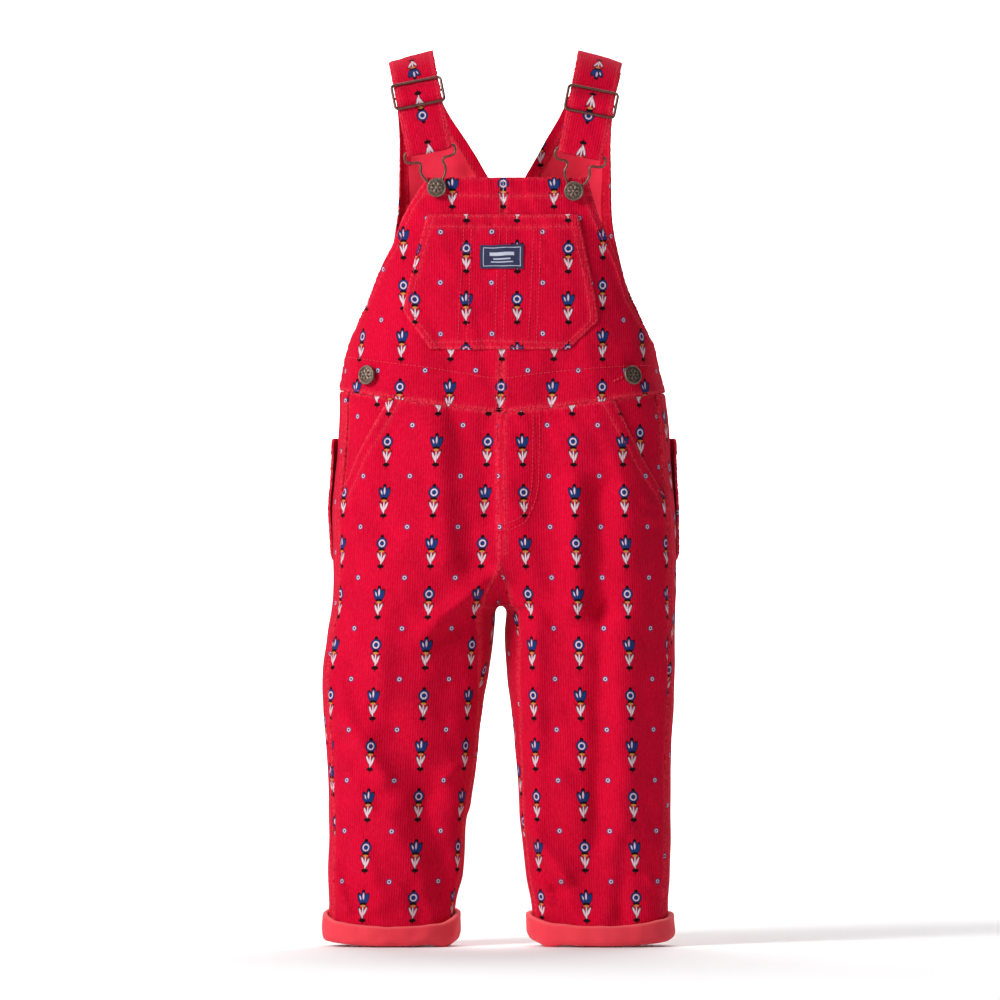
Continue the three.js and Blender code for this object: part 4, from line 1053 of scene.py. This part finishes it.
def make_back_leg(name, side):
    def at(levels, first, last, across):
        return even_places(side, levels, first, last, across), across_rows(levels, len(across))

    outer, inner = beside(side_seam, side, SEAM_GAP / 2), beside(inseam, side, -SEAM_GAP)
    across, tongue = shares_of(150), np.linspace(0, 1, 8)
    t, z = panel_places(side, shares_of(85)[:-3], across, lambda t: waist(side, t) - SEAM_GAP,
                        always(HIP), outer, always(4))
    seat, leg = rows_below_hip()
    seat_t, seat_z = at(seat, outer(seat), seat * 0 + 4, across)
    seam = Edge(0.9, 0.45, 7, doubled(1.8, 4.6), 0.3)
    grain = leg_grain("back")
    upper = body_grid(side, np.vstack([t, seat_t]), np.vstack([z, seat_z]), grain, seed=6,
                      edges={"top": SEAM, "start": seam, "end": Edge(0.8, 0.3, 5, ((2.4, *ALL),), 0.2)})
    levels = np.insert(leg, 0, CROTCH)
    back_t, back_z = at(levels, outer(levels), levels * 0 + 4, across)
    front_t, front_z = at(levels, levels * 0 + 4, 4 + inner(levels), tongue)
    front_t[0] = 4 + even_places(side, levels[:1], levels[:1] * 0, inner(levels[:1]), tongue)
    closed_t, closed_z = np.hstack([back_t, front_t[:, 1:]]), np.hstack([back_z, front_z[:, 1:]])
    points, normals = surface(side, closed_t, closed_z), normal(side, closed_t, closed_z)
    across_front = surface(side, front_t[0] - 4, CROTCH), normal(side, front_t[0] - 4, CROTCH)
    points[0, len(across):], normals[0, len(across):] = (v[1:] for v in across_front)
    lower = Grid(points, normals, flat_at(side, closed_t, closed_z, grain), seed=6, side=side,
                 edges={"start": seam, "end": Edge(0.6, 0, 0, (), 0.1)})
    rise = np.linspace(FORK - 0.5, CROTCH, 14)
    rise_t, rise_z = at(rise, rise * 0, inner(rise), tongue)
    front = body_grid(side, rise_t, rise_z, centre_front, seed=6)
    side_cloth("back_leg", name, [upper, lower, front], "hung", ["back_bib_cloth"], offset=(9, 31))


def make_back_pocket(name, side):
    rows = np.array([[-297, 1.985, 2.9], [-317, 1.99, 2.895], [-338, 1.995, 2.89], [-360, 2.0, 2.885],
                     [-376, 2.005, 2.882], [-386, 2.04, 2.85], [-397, 2.22, 2.7]])
    down, across = shares_of(100), shares_of(88)
    z = mix(rows[0, 0], rows[-1, 0], down)
    outer, inner = (np.interp(-z, -rows[:, 0], rows[:, k]) for k in (1, 2))
    t = even_places(side, z, outer, inner, across)
    z = across_rows(z, len(across))
    sewn_on = Edge(0.7, 0.2, 7, doubled(1.6, 4.8), 0.22)
    flare = 2.4 * np.outer(np.maximum(1 - down / 0.8, 0), np.maximum(1 - across / 0.35, 0))
    grid = body_grid(side, t, z, leg_grain("back"), out=HIP_PATCH_GAP + PATCH + flare, seed=7, edges={
        "top": Edge(0.9, 0.3, 12, doubled(2, 10), 0.2),
        "start": sewn_on, "end": sewn_on, "bottom": sewn_on,
    })
    side_cloth("back_pocket", name, [grid], "laid", ["back_leg_cloth"], offset=(20, 0), thickness=PATCH)


def front_patch(edges, width, out, stitched, seed):
    """A patch on the front, from (z, left, right) rows, spanning both halves."""
    edges = np.array(edges, float)
    down = shares_of(edges[0, 0] - edges[-1, 0])
    z = mix(edges[0, 0], edges[-1, 0], down)
    left, right = (np.interp(-z, -edges[:, 0], edges[:, k]) for k in (1, 2))
    x = left[:, None] + (right - left)[:, None] * shares_of(width)
    z = across_rows(z, x.shape[1])
    return Grid(*on_front(x, z, out), np.stack([x, z], axis=-1), edges=stitched, seed=seed)


BIB_POCKET = [
    (-123.5, -57.7, 58.4), (-148, -64.5, 63.6), (-172, -70.8, 68.8), (-198, -76.4, 73.6),
    (-206, -71.5, 74.1), (-217, -63.5, 63), (-228, -55.5, 51.5),
]
POCKET_PAIRS = [(-29.9, -34.3), (-23.4, -27.3), (-2.0, -5.9), (3.8, 1.2), (25, 19.9), (30.4, 26.5)]


def make_bib_pocket():
    sewn_on = Edge(0.8, 0.25, 7, doubled(1.6, 4.6), 0.22)
    grid = front_patch(BIB_POCKET, 135, PATCH_GAP + PATCH, {
        "top": Edge(0.8, 0.35, 10, doubled(1.6, 8.4), 0.22),
        "start": sewn_on, "end": sewn_on, "bottom": sewn_on,
    }, 8)
    cloth("bib_pocket_cloth", "bib_pocket", [grid], "laid", ["bib_cloth_left", "bib_cloth_right"],
          offset=(8, 19), thickness=PATCH)
    out = PATCH_GAP + PATCH + 0.1
    pairs = [front_line([(top, -134.5), ((top + foot) / 2, -180), (foot, -226)], out)
             for top, foot in POCKET_PAIRS]
    stitches("bib_pocket_dividers", pairs)


def make_label():
    out = PATCH_GAP + PATCH + LAY_GAP + LABEL
    grid = front_patch(LABEL_EDGES, 33, out, {}, 9)
    cloth("label_cloth", "label", [grid], "laid", ["bib_pocket_cloth"], thickness=LABEL, slot="label",
          materials=[LABEL_CLOTH, LABEL_CLOTH])


# Section as (distance out from the leg, height)
CUFF_SECTION = [
    (0.6, -671.5), (2.6, -669.6), (4.5, -670.8), (5.0, -676), (5.2, -681), (4.9, -687.5), (2.9, -691.4),
    (-1.6, -691.5), (-4.8, -689), (-5, -683), (-4.9, -678.4), (-3.5, -678.4), (-3.4, -683), (-2.6, -687.6),
    (0, -688), (0.5, -682),
]
CUFF_COLUMNS = 180
CUFF_FOOT = -691.5
CUFF_LEVEL = -680                  # where its run round the leg is measured
CUFF_RIM = -669.6
CUFF_ROLL = (-691, 22)             # foot and height of the outside, over which its creases fade
CUFF_CREASE_PITCH = 23
# Share of the section's height at the front and the side, and the x and drop of the corner that hangs
CUFF_HEIGHT = {"left": (0.66, 0.98), "right": (0.7, 0.92)}
CUFF_DROOP = {"left": (-46, 3.6), "right": (37, 3.2)}
CUFF_SWELL = [(3, 0.55, 0.6), (7, 0.35, 2.1), (12, 0.28, 4.4), (19, 0.18, 1.3)]  # waves round, size, phase


def make_cuff(name, side):
    """Turned-up cuff: a rounded U-shaped section run round the hem."""
    profile = smooth_line(CUFF_SECTION, 1.3, closed=True)
    stands_out, level = profile.T
    whole = side, np.array([float(CUFF_LEVEL)]), np.zeros(1), np.full(1, 4.0)
    share = np.linspace(0, 1, CUFF_COLUMNS + 1)
    t = even_places(*whole, share)[0]
    along = unit(np.stack(outline_step(side, t, CUFF_LEVEL), axis=-1))
    x, y = outline(side, t[:, None], level)
    girth = arc_table(*whole)[1][0, -1]
    run = girth * share
    swell, sag = (sum(a * np.sin(2 * math.pi * n * share + k * p + turn * side) for n, a, p in CUFF_SWELL)
                  for k, turn in ((1, 1), (1.9, -1)))
    outer = np.clip(stands_out / 4, 0, 1)
    foot, tall = CUFF_ROLL
    height = np.clip((level - foot) / tall, 0, 1)
    tilt = np.sin(2 * math.pi * (run[:, None] / CUFF_CREASE_PITCH + height * 0.9))
    out = stands_out + outer * (0.75 * swell[:, None] + 0.45 * tilt * (1 - height))
    low, high = CUFF_HEIGHT[name]
    rise = mix(low, high, np.clip(y / HEM_HALF_DEPTH + 1, 0, 1)) * (1 + 0.03 * sag[:, None])
    z = CUFF_FOOT + (level - CUFF_FOOT) * rise + hem_lift(y, LEG_END)
    droop_x, droop = CUFF_DROOP[name]
    z = z - droop * np.exp(-((x - droop_x) / 7) ** 2) * (y < 0) * (1 - 0.7 * height)
    points = np.stack([x + side * along[:, 1:2] * out, y - side * along[:, :1] * out, z], axis=-1)
    ring = len(profile)
    vertices = points[:-1].reshape(-1, 3)
    index = np.arange(CUFF_COLUMNS * ring).reshape(CUFF_COLUMNS, ring)
    a, b = index, np.roll(index, -1, axis=0)
    c, d = np.roll(b, -1, axis=1), np.roll(index, -1, axis=1)
    cells = np.stack([a, d, c, b] if side > 0 else [a, b, c, d], axis=-1).reshape(-1, 4)
    obj = new_object(f"cuff_cloth_{name}", vertices, cells, [CUFF])
    width = np.cumsum(np.insert(np.linalg.norm(np.diff(profile, axis=0), axis=1), 0, 0))
    u, v = np.repeat(run[:-1], ring), np.tile(width, CUFF_COLUMNS)
    set_flat(obj, np.stack([u, v], -1)[cells.reshape(-1)])
    set_wear(obj, np.tile(np.exp(-((level - CUFF_RIM) / 1.6) ** 2), CUFF_COLUMNS))
    area = sheet_area(vertices, cells) / 2
    finish_cloth(obj, f"cuff_{name}", (girth * 1.04, area / girth), area,
                 [])


# Straps. Each lies in a leaning plane: h runs up the plane from the origin's height, w across the strap.
STRAP_WIDTH = 35
STRAP_WALL = 1.8
STRAP_LEAN = math.radians(11.2)
STRAP_TOP_X = {"left": -71, "right": 76.4}
WIRE_HOOK = 1.0
WIRE_SLIDER = 1.1
WIRE_BAR = 0.9
SLIDER_DROP = {"left": -30.4, "right": -36.9}
SLIDER_HALF_WIDTH, SLIDER_HALF_HEIGHT = 19.4, 10
SLIDER_CORNER, SLIDER_LIFT, SLIDER_BAR = 2.6, 2.3, -0.8
HOOK_DROP = {"left": -74.2, "right": -77.3}
HOOK_INSET = -1.1
STRAP_ROUTE = smooth_line([
    (29.2, -32.2), (25.2, -23.4), (20.3, -14.2), (15.8, -6.8), (9, -1.1), (0, 0.9), (-12, -1.4),
    (-24, -7), (-34, -16), (-40.8, -27), (-45.5, -42), (-48.9, -58), (-50.2, -73), (-50.4, -84),
], 0.25)
ROUTE_RUN = running(STRAP_ROUTE, 0)


def off_route(length, off):
    """A point (y, h) at a length along the route, moved off it towards the outside, and the tangent."""
    at = np.clip(length, 0, ROUTE_RUN[-1])
    place, ahead, behind = (
        np.array([np.interp(at + d, ROUTE_RUN, STRAP_ROUTE[:, k]) for k in range(2)]) for d in (0, 0.4, -0.4))
    tangent = (ahead - behind) / np.linalg.norm(ahead - behind)
    return place + tangent * (length - at) + np.array([tangent[1], -tangent[0]]) * off, tangent


def length_at_drop(drop):
    later = ROUTE_RUN > ROUTE_RUN[-1] / 2
    return float(np.interp(-drop, -STRAP_ROUTE[later, 1], ROUTE_RUN[later]))


def strap_line(name):
    """The strap's middle line: from inside the back, through the slider, round the hook and back."""
    slider_at, hook_at = length_at_drop(SLIDER_DROP[name]), length_at_drop(HOOK_DROP[name])
    line = [(mix(0, slider_at - 13, i / 14), 0) for i in range(15)]
    line += [(slider_at + a, off) for a, off in (
        (-10, 0), (-8, 0.8), (-6, 1.9), (-3, 3.4), (0, 3.75), (3, 3.4), (6, 1.9), (8, 0.8), (10, 0), (13, 0))]
    line += [(mix(slider_at + 13, hook_at - 7, i / 5), 0) for i in range(1, 6)] + [(hook_at - 3.2, 0.6)]
    turn = WIRE_HOOK + LAY_GAP + STRAP_WALL / 2 + 0.05
    for i in range(7):
        angle = math.pi / 2 - math.pi * i / 6
        line.append((hook_at + turn * math.cos(angle), HOOK_INSET + turn * math.sin(angle)))
    line += [(hook_at - 3.2, -2.9)]
    line += [(mix(hook_at - 7, slider_at + 9, i / 4), -2.25) for i in range(5)]
    line += [(slider_at + 5.5, -1.1), (slider_at + 2.8, 0.75)]
    loop = WIRE_BAR + LAY_GAP + STRAP_WALL / 2 + 0.15
    for i in range(7):
        angle = math.pi / 2 + math.pi * i / 6
        line.append((slider_at + loop * math.cos(angle), SLIDER_BAR + loop * math.sin(angle)))
    line += [(slider_at + 4, -3.9), (slider_at + 8, -4.5), (slider_at + 14, -4.5)]
    return np.array([off_route(a, off)[0] for a, off in line])


def from_strap(name, y, h, w):
    """World places of a strap's own (y, h, w)."""
    lean = STRAP_LEAN * (-1 if name == "left" else 1)
    x = STRAP_TOP_X[name] + np.sin(lean) * h + np.cos(lean) * w
    return np.stack(np.broadcast_arrays(x, y, np.cos(lean) * h - np.sin(lean) * w), axis=-1)


def strap_direction(name, y, h, w):
    return from_strap(name, y, h, w) - from_strap(name, 0, 0, 0)


def make_strap(name, side):
    path = smooth_line(strap_line(name), 1.1)
    tangent = unit(np.gradient(path, axis=0))
    facing = np.stack([tangent[:, 1], -tangent[:, 0]], axis=-1)
    run = running(path, 0)
    shares = shares_of(STRAP_WIDTH, 2.0)
    w = (shares - 0.5) * STRAP_WIDTH
    cup = -0.25 * (2 * np.abs(shares - 0.5)) ** 3
    outer = path + facing * STRAP_WALL / 2
    y, h = outer[:, :1] + facing[:, :1] * cup, outer[:, 1:] + facing[:, 1:] * cup
    h = h - side * w[None, :] * 0.085 * np.exp(-(y / 22) ** 2)
    scallop = 0.35 * np.sin(run * 2 * math.pi / 3.7) + 0.25 * np.sin(run * 2 * math.pi / 9.1 + side)
    points = from_strap(name, y, h, w[None, :] + scallop[:, None] * (2 * (shares[None, :] - 0.5)) ** 5)
    normals = strap_direction(name, facing[:, :1], facing[:, 1:], 0.0)
    normals = np.broadcast_to(normals, points.shape).copy()
    flat = np.stack(np.broadcast_arrays(-w[None, :], run[:, None]), axis=-1)
    edge = Edge(0.45, 0, 0, ((2.4, *ALL),), 0.16)
    grid = Grid(points, normals, flat, edges={"start": edge, "end": edge}, seed=10 + side, side=-1)
    cloth(f"strap_webbing_{name}", f"strap_{name}", [grid], "folded",
          [f"slider_wire_{name}", f"hook_wire_{name}"], offset=(19.7, 22), thickness=STRAP_WALL,
          materials=[PRINTED, PRINTED])


# Metal
def tube(points, radius, plane, closed, sides=12):
    """Vertices and faces of a round wire along points that lie near one plane."""
    after = np.roll(points, -1, axis=0)
    before = np.roll(points, 1, axis=0)
    if not closed:
        after[-1], before[0] = points[-1], points[0]
    tangent = unit(after - before)
    first = unit(plane - tangent * (tangent @ plane)[:, None])
    second = np.cross(tangent, first)
    angles = np.linspace(0, 2 * math.pi, sides, endpoint=False)
    ring = first[:, None] * np.cos(angles)[None, :, None] + second[:, None] * np.sin(angles)[None, :, None]
    vertices = (points[:, None] + ring * radius).reshape(-1, 3)
    count = len(points)
    faces = []
    for i in range(count if closed else count - 1):
        a, b = i * sides, (i + 1) % count * sides
        faces += [(a + k, a + (k + 1) % sides, b + (k + 1) % sides, b + k) for k in range(sides)]
    if not closed:
        faces += [tuple(range(sides))[::-1], tuple(range((count - 1) * sides, count * sides))]
    return vertices, faces


def metal(name, node, parts, material, wear=None):
    vertices, faces = [], []
    for part_vertices, part_faces in parts:
        base = sum(len(v) for v in vertices)
        vertices.append(part_vertices)
        faces += [tuple(base + k for k in face) for face in part_faces]
    obj = new_object(name, np.concatenate(vertices), faces, [material])
    set_wear(obj, np.full(len(obj.data.vertices), 0.5) if wear is None else wear)
    obj.data.set_sharp_from_angle(angle=math.radians(50))
    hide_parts(node)
    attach(obj, "root")


def make_slider(name):
    spot, tangent = off_route(length_at_drop(SLIDER_DROP[name]), 0)
    off = np.array([tangent[1], -tangent[0]])

    def place(s, w, n):
        y, h = spot + tangent * s + off * n
        return from_strap(name, y, h, w)

    ring = []
    for w, s, turn in ((1, 1, 0), (-1, 1, 1), (-1, -1, 2), (1, -1, 3)):
        for i in range(7):
            angle = (turn + i / 6) * math.pi / 2
            ring.append(place(s * (SLIDER_HALF_HEIGHT - SLIDER_CORNER) + SLIDER_CORNER * math.sin(angle),
                              w * (SLIDER_HALF_WIDTH - SLIDER_CORNER) + SLIDER_CORNER * math.cos(angle),
                              SLIDER_LIFT))
    reach = SLIDER_HALF_WIDTH
    bar = smooth_line([place(0, w, n) for w, n in (
        (-reach, SLIDER_LIFT), (-reach, 0.5), (-reach + 1, SLIDER_BAR + 0.2), (-reach + 3, SLIDER_BAR),
        (0, SLIDER_BAR), (reach - 3, SLIDER_BAR), (reach - 1, SLIDER_BAR + 0.2), (reach, 0.5),
        (reach, SLIDER_LIFT))], 1.5)
    plane = strap_direction(name, off[0], off[1], 0.0)
    along = strap_direction(name, tangent[0], tangent[1], 0.0)
    metal(f"slider_wire_{name}", f"slider_{name}", [
        tube(np.array(ring), WIRE_SLIDER, plane, True), tube(bar, WIRE_BAR, along, False)], WIRE_BRASS)


HOOK_SIDE = [
    (18.4, 0), (19.6, -1.3), (19.9, -4.2), (18.7, -6.8), (15.6, -8.1), (11, -8.4), (9, -9.6), (8.9, -12),
    (9.8, -15.6), (8.9, -19.6), (6.4, -24), (4.3, -27.6),
]
SHANK_LOOP = 3.6
BUTTON_DROP = {"left": -104.6, "right": -107.4}


def make_hook(name):
    (bar_y, bar_h), _ = off_route(length_at_drop(HOOK_DROP[name]), HOOK_INSET)
    low = BUTTON_DROP[name] - bar_h
    angles = -np.pi * np.arange(9) / 8
    loop = [(SHANK_LOOP * math.cos(a), low + SHANK_LOOP * math.sin(a)) for a in angles]
    right = HOOK_SIDE + loop[:4]
    left = [(-w, h) for w, h in reversed(right)]
    path = smooth_line([(0, 0), (9, 0), *right, loop[4], *left, (-9, 0)], 0.8, closed=True)
    points = from_strap(name, bar_y, bar_h + path[:, 1], path[:, 0])
    plane = np.array([0.0, 1.0, 0.0])
    metal(f"hook_wire_{name}", f"hook_{name}", [tube(points, WIRE_HOOK, plane, True)], WIRE_BRASS)


BUTTON_RADIUS, BUTTON_FOOT, BUTTON_NECK = 7.6, 3, 1.9
SIDE_BUTTON = {"left": (-102.7, -248), "right": (99.5, -248.8)}
HEAD_BACK_Y = -50.6


def button(name, node, point, axis, stand):
    """Shank button whose domed head is pressed with a rosette of petals inside a beaded rim."""
    r = BUTTON_RADIUS
    profile = [(0, 0), (BUTTON_FOOT, 0), (BUTTON_FOOT, 0.8), (BUTTON_NECK, 1.2), (BUTTON_NECK, stand),
               (r - 0.7, stand), (r - 0.2, stand + 0.25), (r, stand + 0.7), (r, stand + 1.5),
               (r - 0.3, stand + 2.0)]
    face = [(r * k, stand + 2.05 + 0.65 * (1 - k * k)) for k in np.linspace(0.92, 0.0, 26)]
    profile = np.array(profile + face)
    segments = 84
    angles = np.linspace(0, 2 * math.pi, segments, endpoint=False)
    radius, height = (np.tile(profile[:, k], (segments, 1)) for k in range(2))
    share, turn = radius / r, across_rows(angles, len(profile))
    pressed = np.arange(len(profile))[None, :] >= 10
    petals = np.cos(3 * turn) ** 2 * np.exp(-((share - 0.42) / 0.2) ** 2)
    hub = np.exp(-(share / 0.16) ** 2)
    leaves = np.sin(3 * turn) ** 6 * np.exp(-((share - 0.62) / 0.1) ** 2)
    rim = np.exp(-((share - 0.9) / 0.05) ** 2)
    beads = np.cos(12 * turn) ** 2 * np.exp(-((share - 0.78) / 0.05) ** 2)
    relief = np.clip(petals + hub + 0.8 * leaves + rim + 0.7 * beads, 0, 1) * pressed
    height = height + (relief - 0.55) * 0.5 * pressed
    tangent = unit(np.cross(axis, np.array([0.0, 0.0, 1.0])))
    upward = np.cross(tangent, axis)
    outward = np.cos(turn)[..., None] * tangent + np.sin(turn)[..., None] * upward
    vertices = (point + radius[..., None] * outward + height[..., None] * axis).reshape(-1, 3)
    rings = len(profile)
    index = np.arange(segments * rings).reshape(segments, rings)
    nxt = np.roll(index, -1, axis=0)
    cells = np.stack([index[:, :-1], nxt[:, :-1], nxt[:, 1:], index[:, 1:]], axis=-1).reshape(-1, 4)
    wear = np.where(pressed, relief, 0.55).reshape(-1)
    metal(name, node, [(vertices, cells)], BUTTON_BRASS, wear)


def make_buttons(name, side):
    shank = from_strap(name, 0.0, BUTTON_DROP[name], 0.0)
    t = place_at_x(side, shank[0], shank[2])
    foot = surface(side, t, shank[2]) + np.array([0, -0.7, 0])
    forward = np.array([0.0, -1.0, 0.0])
    button(f"button_bib_head_{name}", f"button_bib_{name}", foot, forward, foot[1] - HEAD_BACK_Y)
    x, z = SIDE_BUTTON[name]
    t = place_at_x(side, x, z)
    axis = normal(side, t, z)
    button(f"button_side_head_{name}", f"button_side_{name}", surface(side, t, z) + axis * 0.1, axis, 3)


# Rows of stitches that cross the panels
FLY = [(24.2, -278), (24, -300), (21.8, -341), (16, -356), (6, -362), (-3.9, -363)]
FACING_ROW = [(-120.5, -233.5), (-90, -238), (-58.5, -242), (-30, -246.5), (-2, -250.4), (30, -246.5),
              (54.6, -244.1), (88, -241.4), (117, -240)]
BAR_TACKS = [((-103, -250), (-96, -250.6)), ((86, -252.6), (94.4, -249.2)), ((22, -352), (27, -349)),
             ((-125, -340), (-120, -336)), ((120, -337), (126, -341))]


def make_crossing_rows():
    outer_fly = [(x + 5, z) for x, z in FLY[:4]] + [(18.5, -361), (6, -367.5), (-3.6, -368.5)]
    stitches("fly_and_waist_rows",
             [front_line(FLY, 0.25), front_line(FACING_ROW, 0.2), front_line(outer_fly, 0.25)])
    stitches("bar_tacks", [front_line([(x0, z0 + k), (x1, z1 + k)], 0.55, 1.0)
                           for (x0, z0), (x1, z1) in BAR_TACKS for k in (-0.45, 0.0, 0.45)])


for name, side in SIDES:
    make_slider(name)
    make_hook(name)
    make_buttons(name, side)
    make_strap(name, side)
    make_bib(name, side)
    make_back_bib(name, side)
    make_facing(name, side)
    make_front_leg(name, side)
    make_side_panel(name, side)
    make_back_leg(name, side)
    make_back_pocket(name, side)
    make_cuff(name, side)
make_bib_pocket()
make_label()
make_crossing_rows()


# Studio: the camera looks level along +Y from far off, as the photograph does
CAMERA_DISTANCE = 8.0
CAMERA_X, CAMERA_Z = -0.00156, -0.3448
FRAME_WIDTH = 0.78                 # width that the photograph covers at the object
FLOOR_Z = -0.6925
SWEEP_START, SWEEP_ROUND = 9.5, 3.0  # where the floor starts to sweep up behind, and how roundly


def make_camera():
    data = bpy.data.cameras.new("camera")
    data.sensor_width = 36
    data.lens = data.sensor_width * CAMERA_DISTANCE / FRAME_WIDTH
    data.clip_end = 60
    camera = bpy.data.objects.new("camera", data)
    camera.location = (CAMERA_X, -CAMERA_DISTANCE, CAMERA_Z)
    camera.rotation_euler = (math.radians(90), 0, 0)
    bpy.context.scene.camera = linked(camera)


def area_light(name, place, aim, size, power):
    data = bpy.data.lights.new(name, "AREA")
    data.size, data.energy = size, power
    light = bpy.data.objects.new(name, data)
    light.location = place
    direction = np.array(aim) - np.array(place)
    light.rotation_euler = (
        math.atan2(math.hypot(direction[0], direction[1]), -direction[2]), 0,
        math.atan2(direction[1], direction[0]) - math.pi / 2)
    linked(light)


def make_floor():
    """Pale floor that sweeps up far behind the object."""
    sweep = [(-SWEEP_START, 0), (SWEEP_START, 0)]
    sweep += [(SWEEP_START + SWEEP_ROUND * math.sin(a), SWEEP_ROUND * (1 - math.cos(a)))
              for a in np.linspace(0.1, math.pi / 2, 14)]
    sweep += [(SWEEP_START + SWEEP_ROUND, 9)]
    vertices = [(x * 1000, y * 1000, (FLOOR_Z + z) * 1000) for y, z in sweep for x in (-10, 10)]
    faces = [(2 * k, 2 * k + 1, 2 * k + 3, 2 * k + 2) for k in range(len(sweep) - 1)]
    material, tree, shader = new_material("floor", Roughness=0.9, Specular_IOR_Level=0.1)
    shade = noise(tree, object_place(tree), 3.0)
    paint(tree, shader, blend(tree, shade, colour(244, 244, 245), colour(248, 248, 248)))
    new_object("floor", vertices, faces, [material])


def make_light():
    scene = bpy.context.scene
    scene.view_settings.view_transform = "Standard"
    world = bpy.data.worlds.new("studio")
    world.use_nodes = True
    background = world.node_tree.nodes["Background"]
    background.inputs["Color"].default_value = (1, 1, 1, 1)
    background.inputs["Strength"].default_value = 0.17
    scene.world = world
    middle = (0, 0, -0.33)
    area_light("key", (-2.3, -2.0, 1.1), middle, 1.0, 112)
    area_light("fill", (0.3, -3.4, 0.1), middle, 2.2, 14)
    area_light("back", (1.6, 2.0, 0.9), middle, 1.4, 12)
    area_light("backdrop", (0, 6, 3.5), (0, 12.5, 0), 5, 900)
    area_light("floor_wash", (0, 3.5, 3.5), (0, 4.5, -0.7), 4, 260)


make_camera()
make_floor()
make_light()
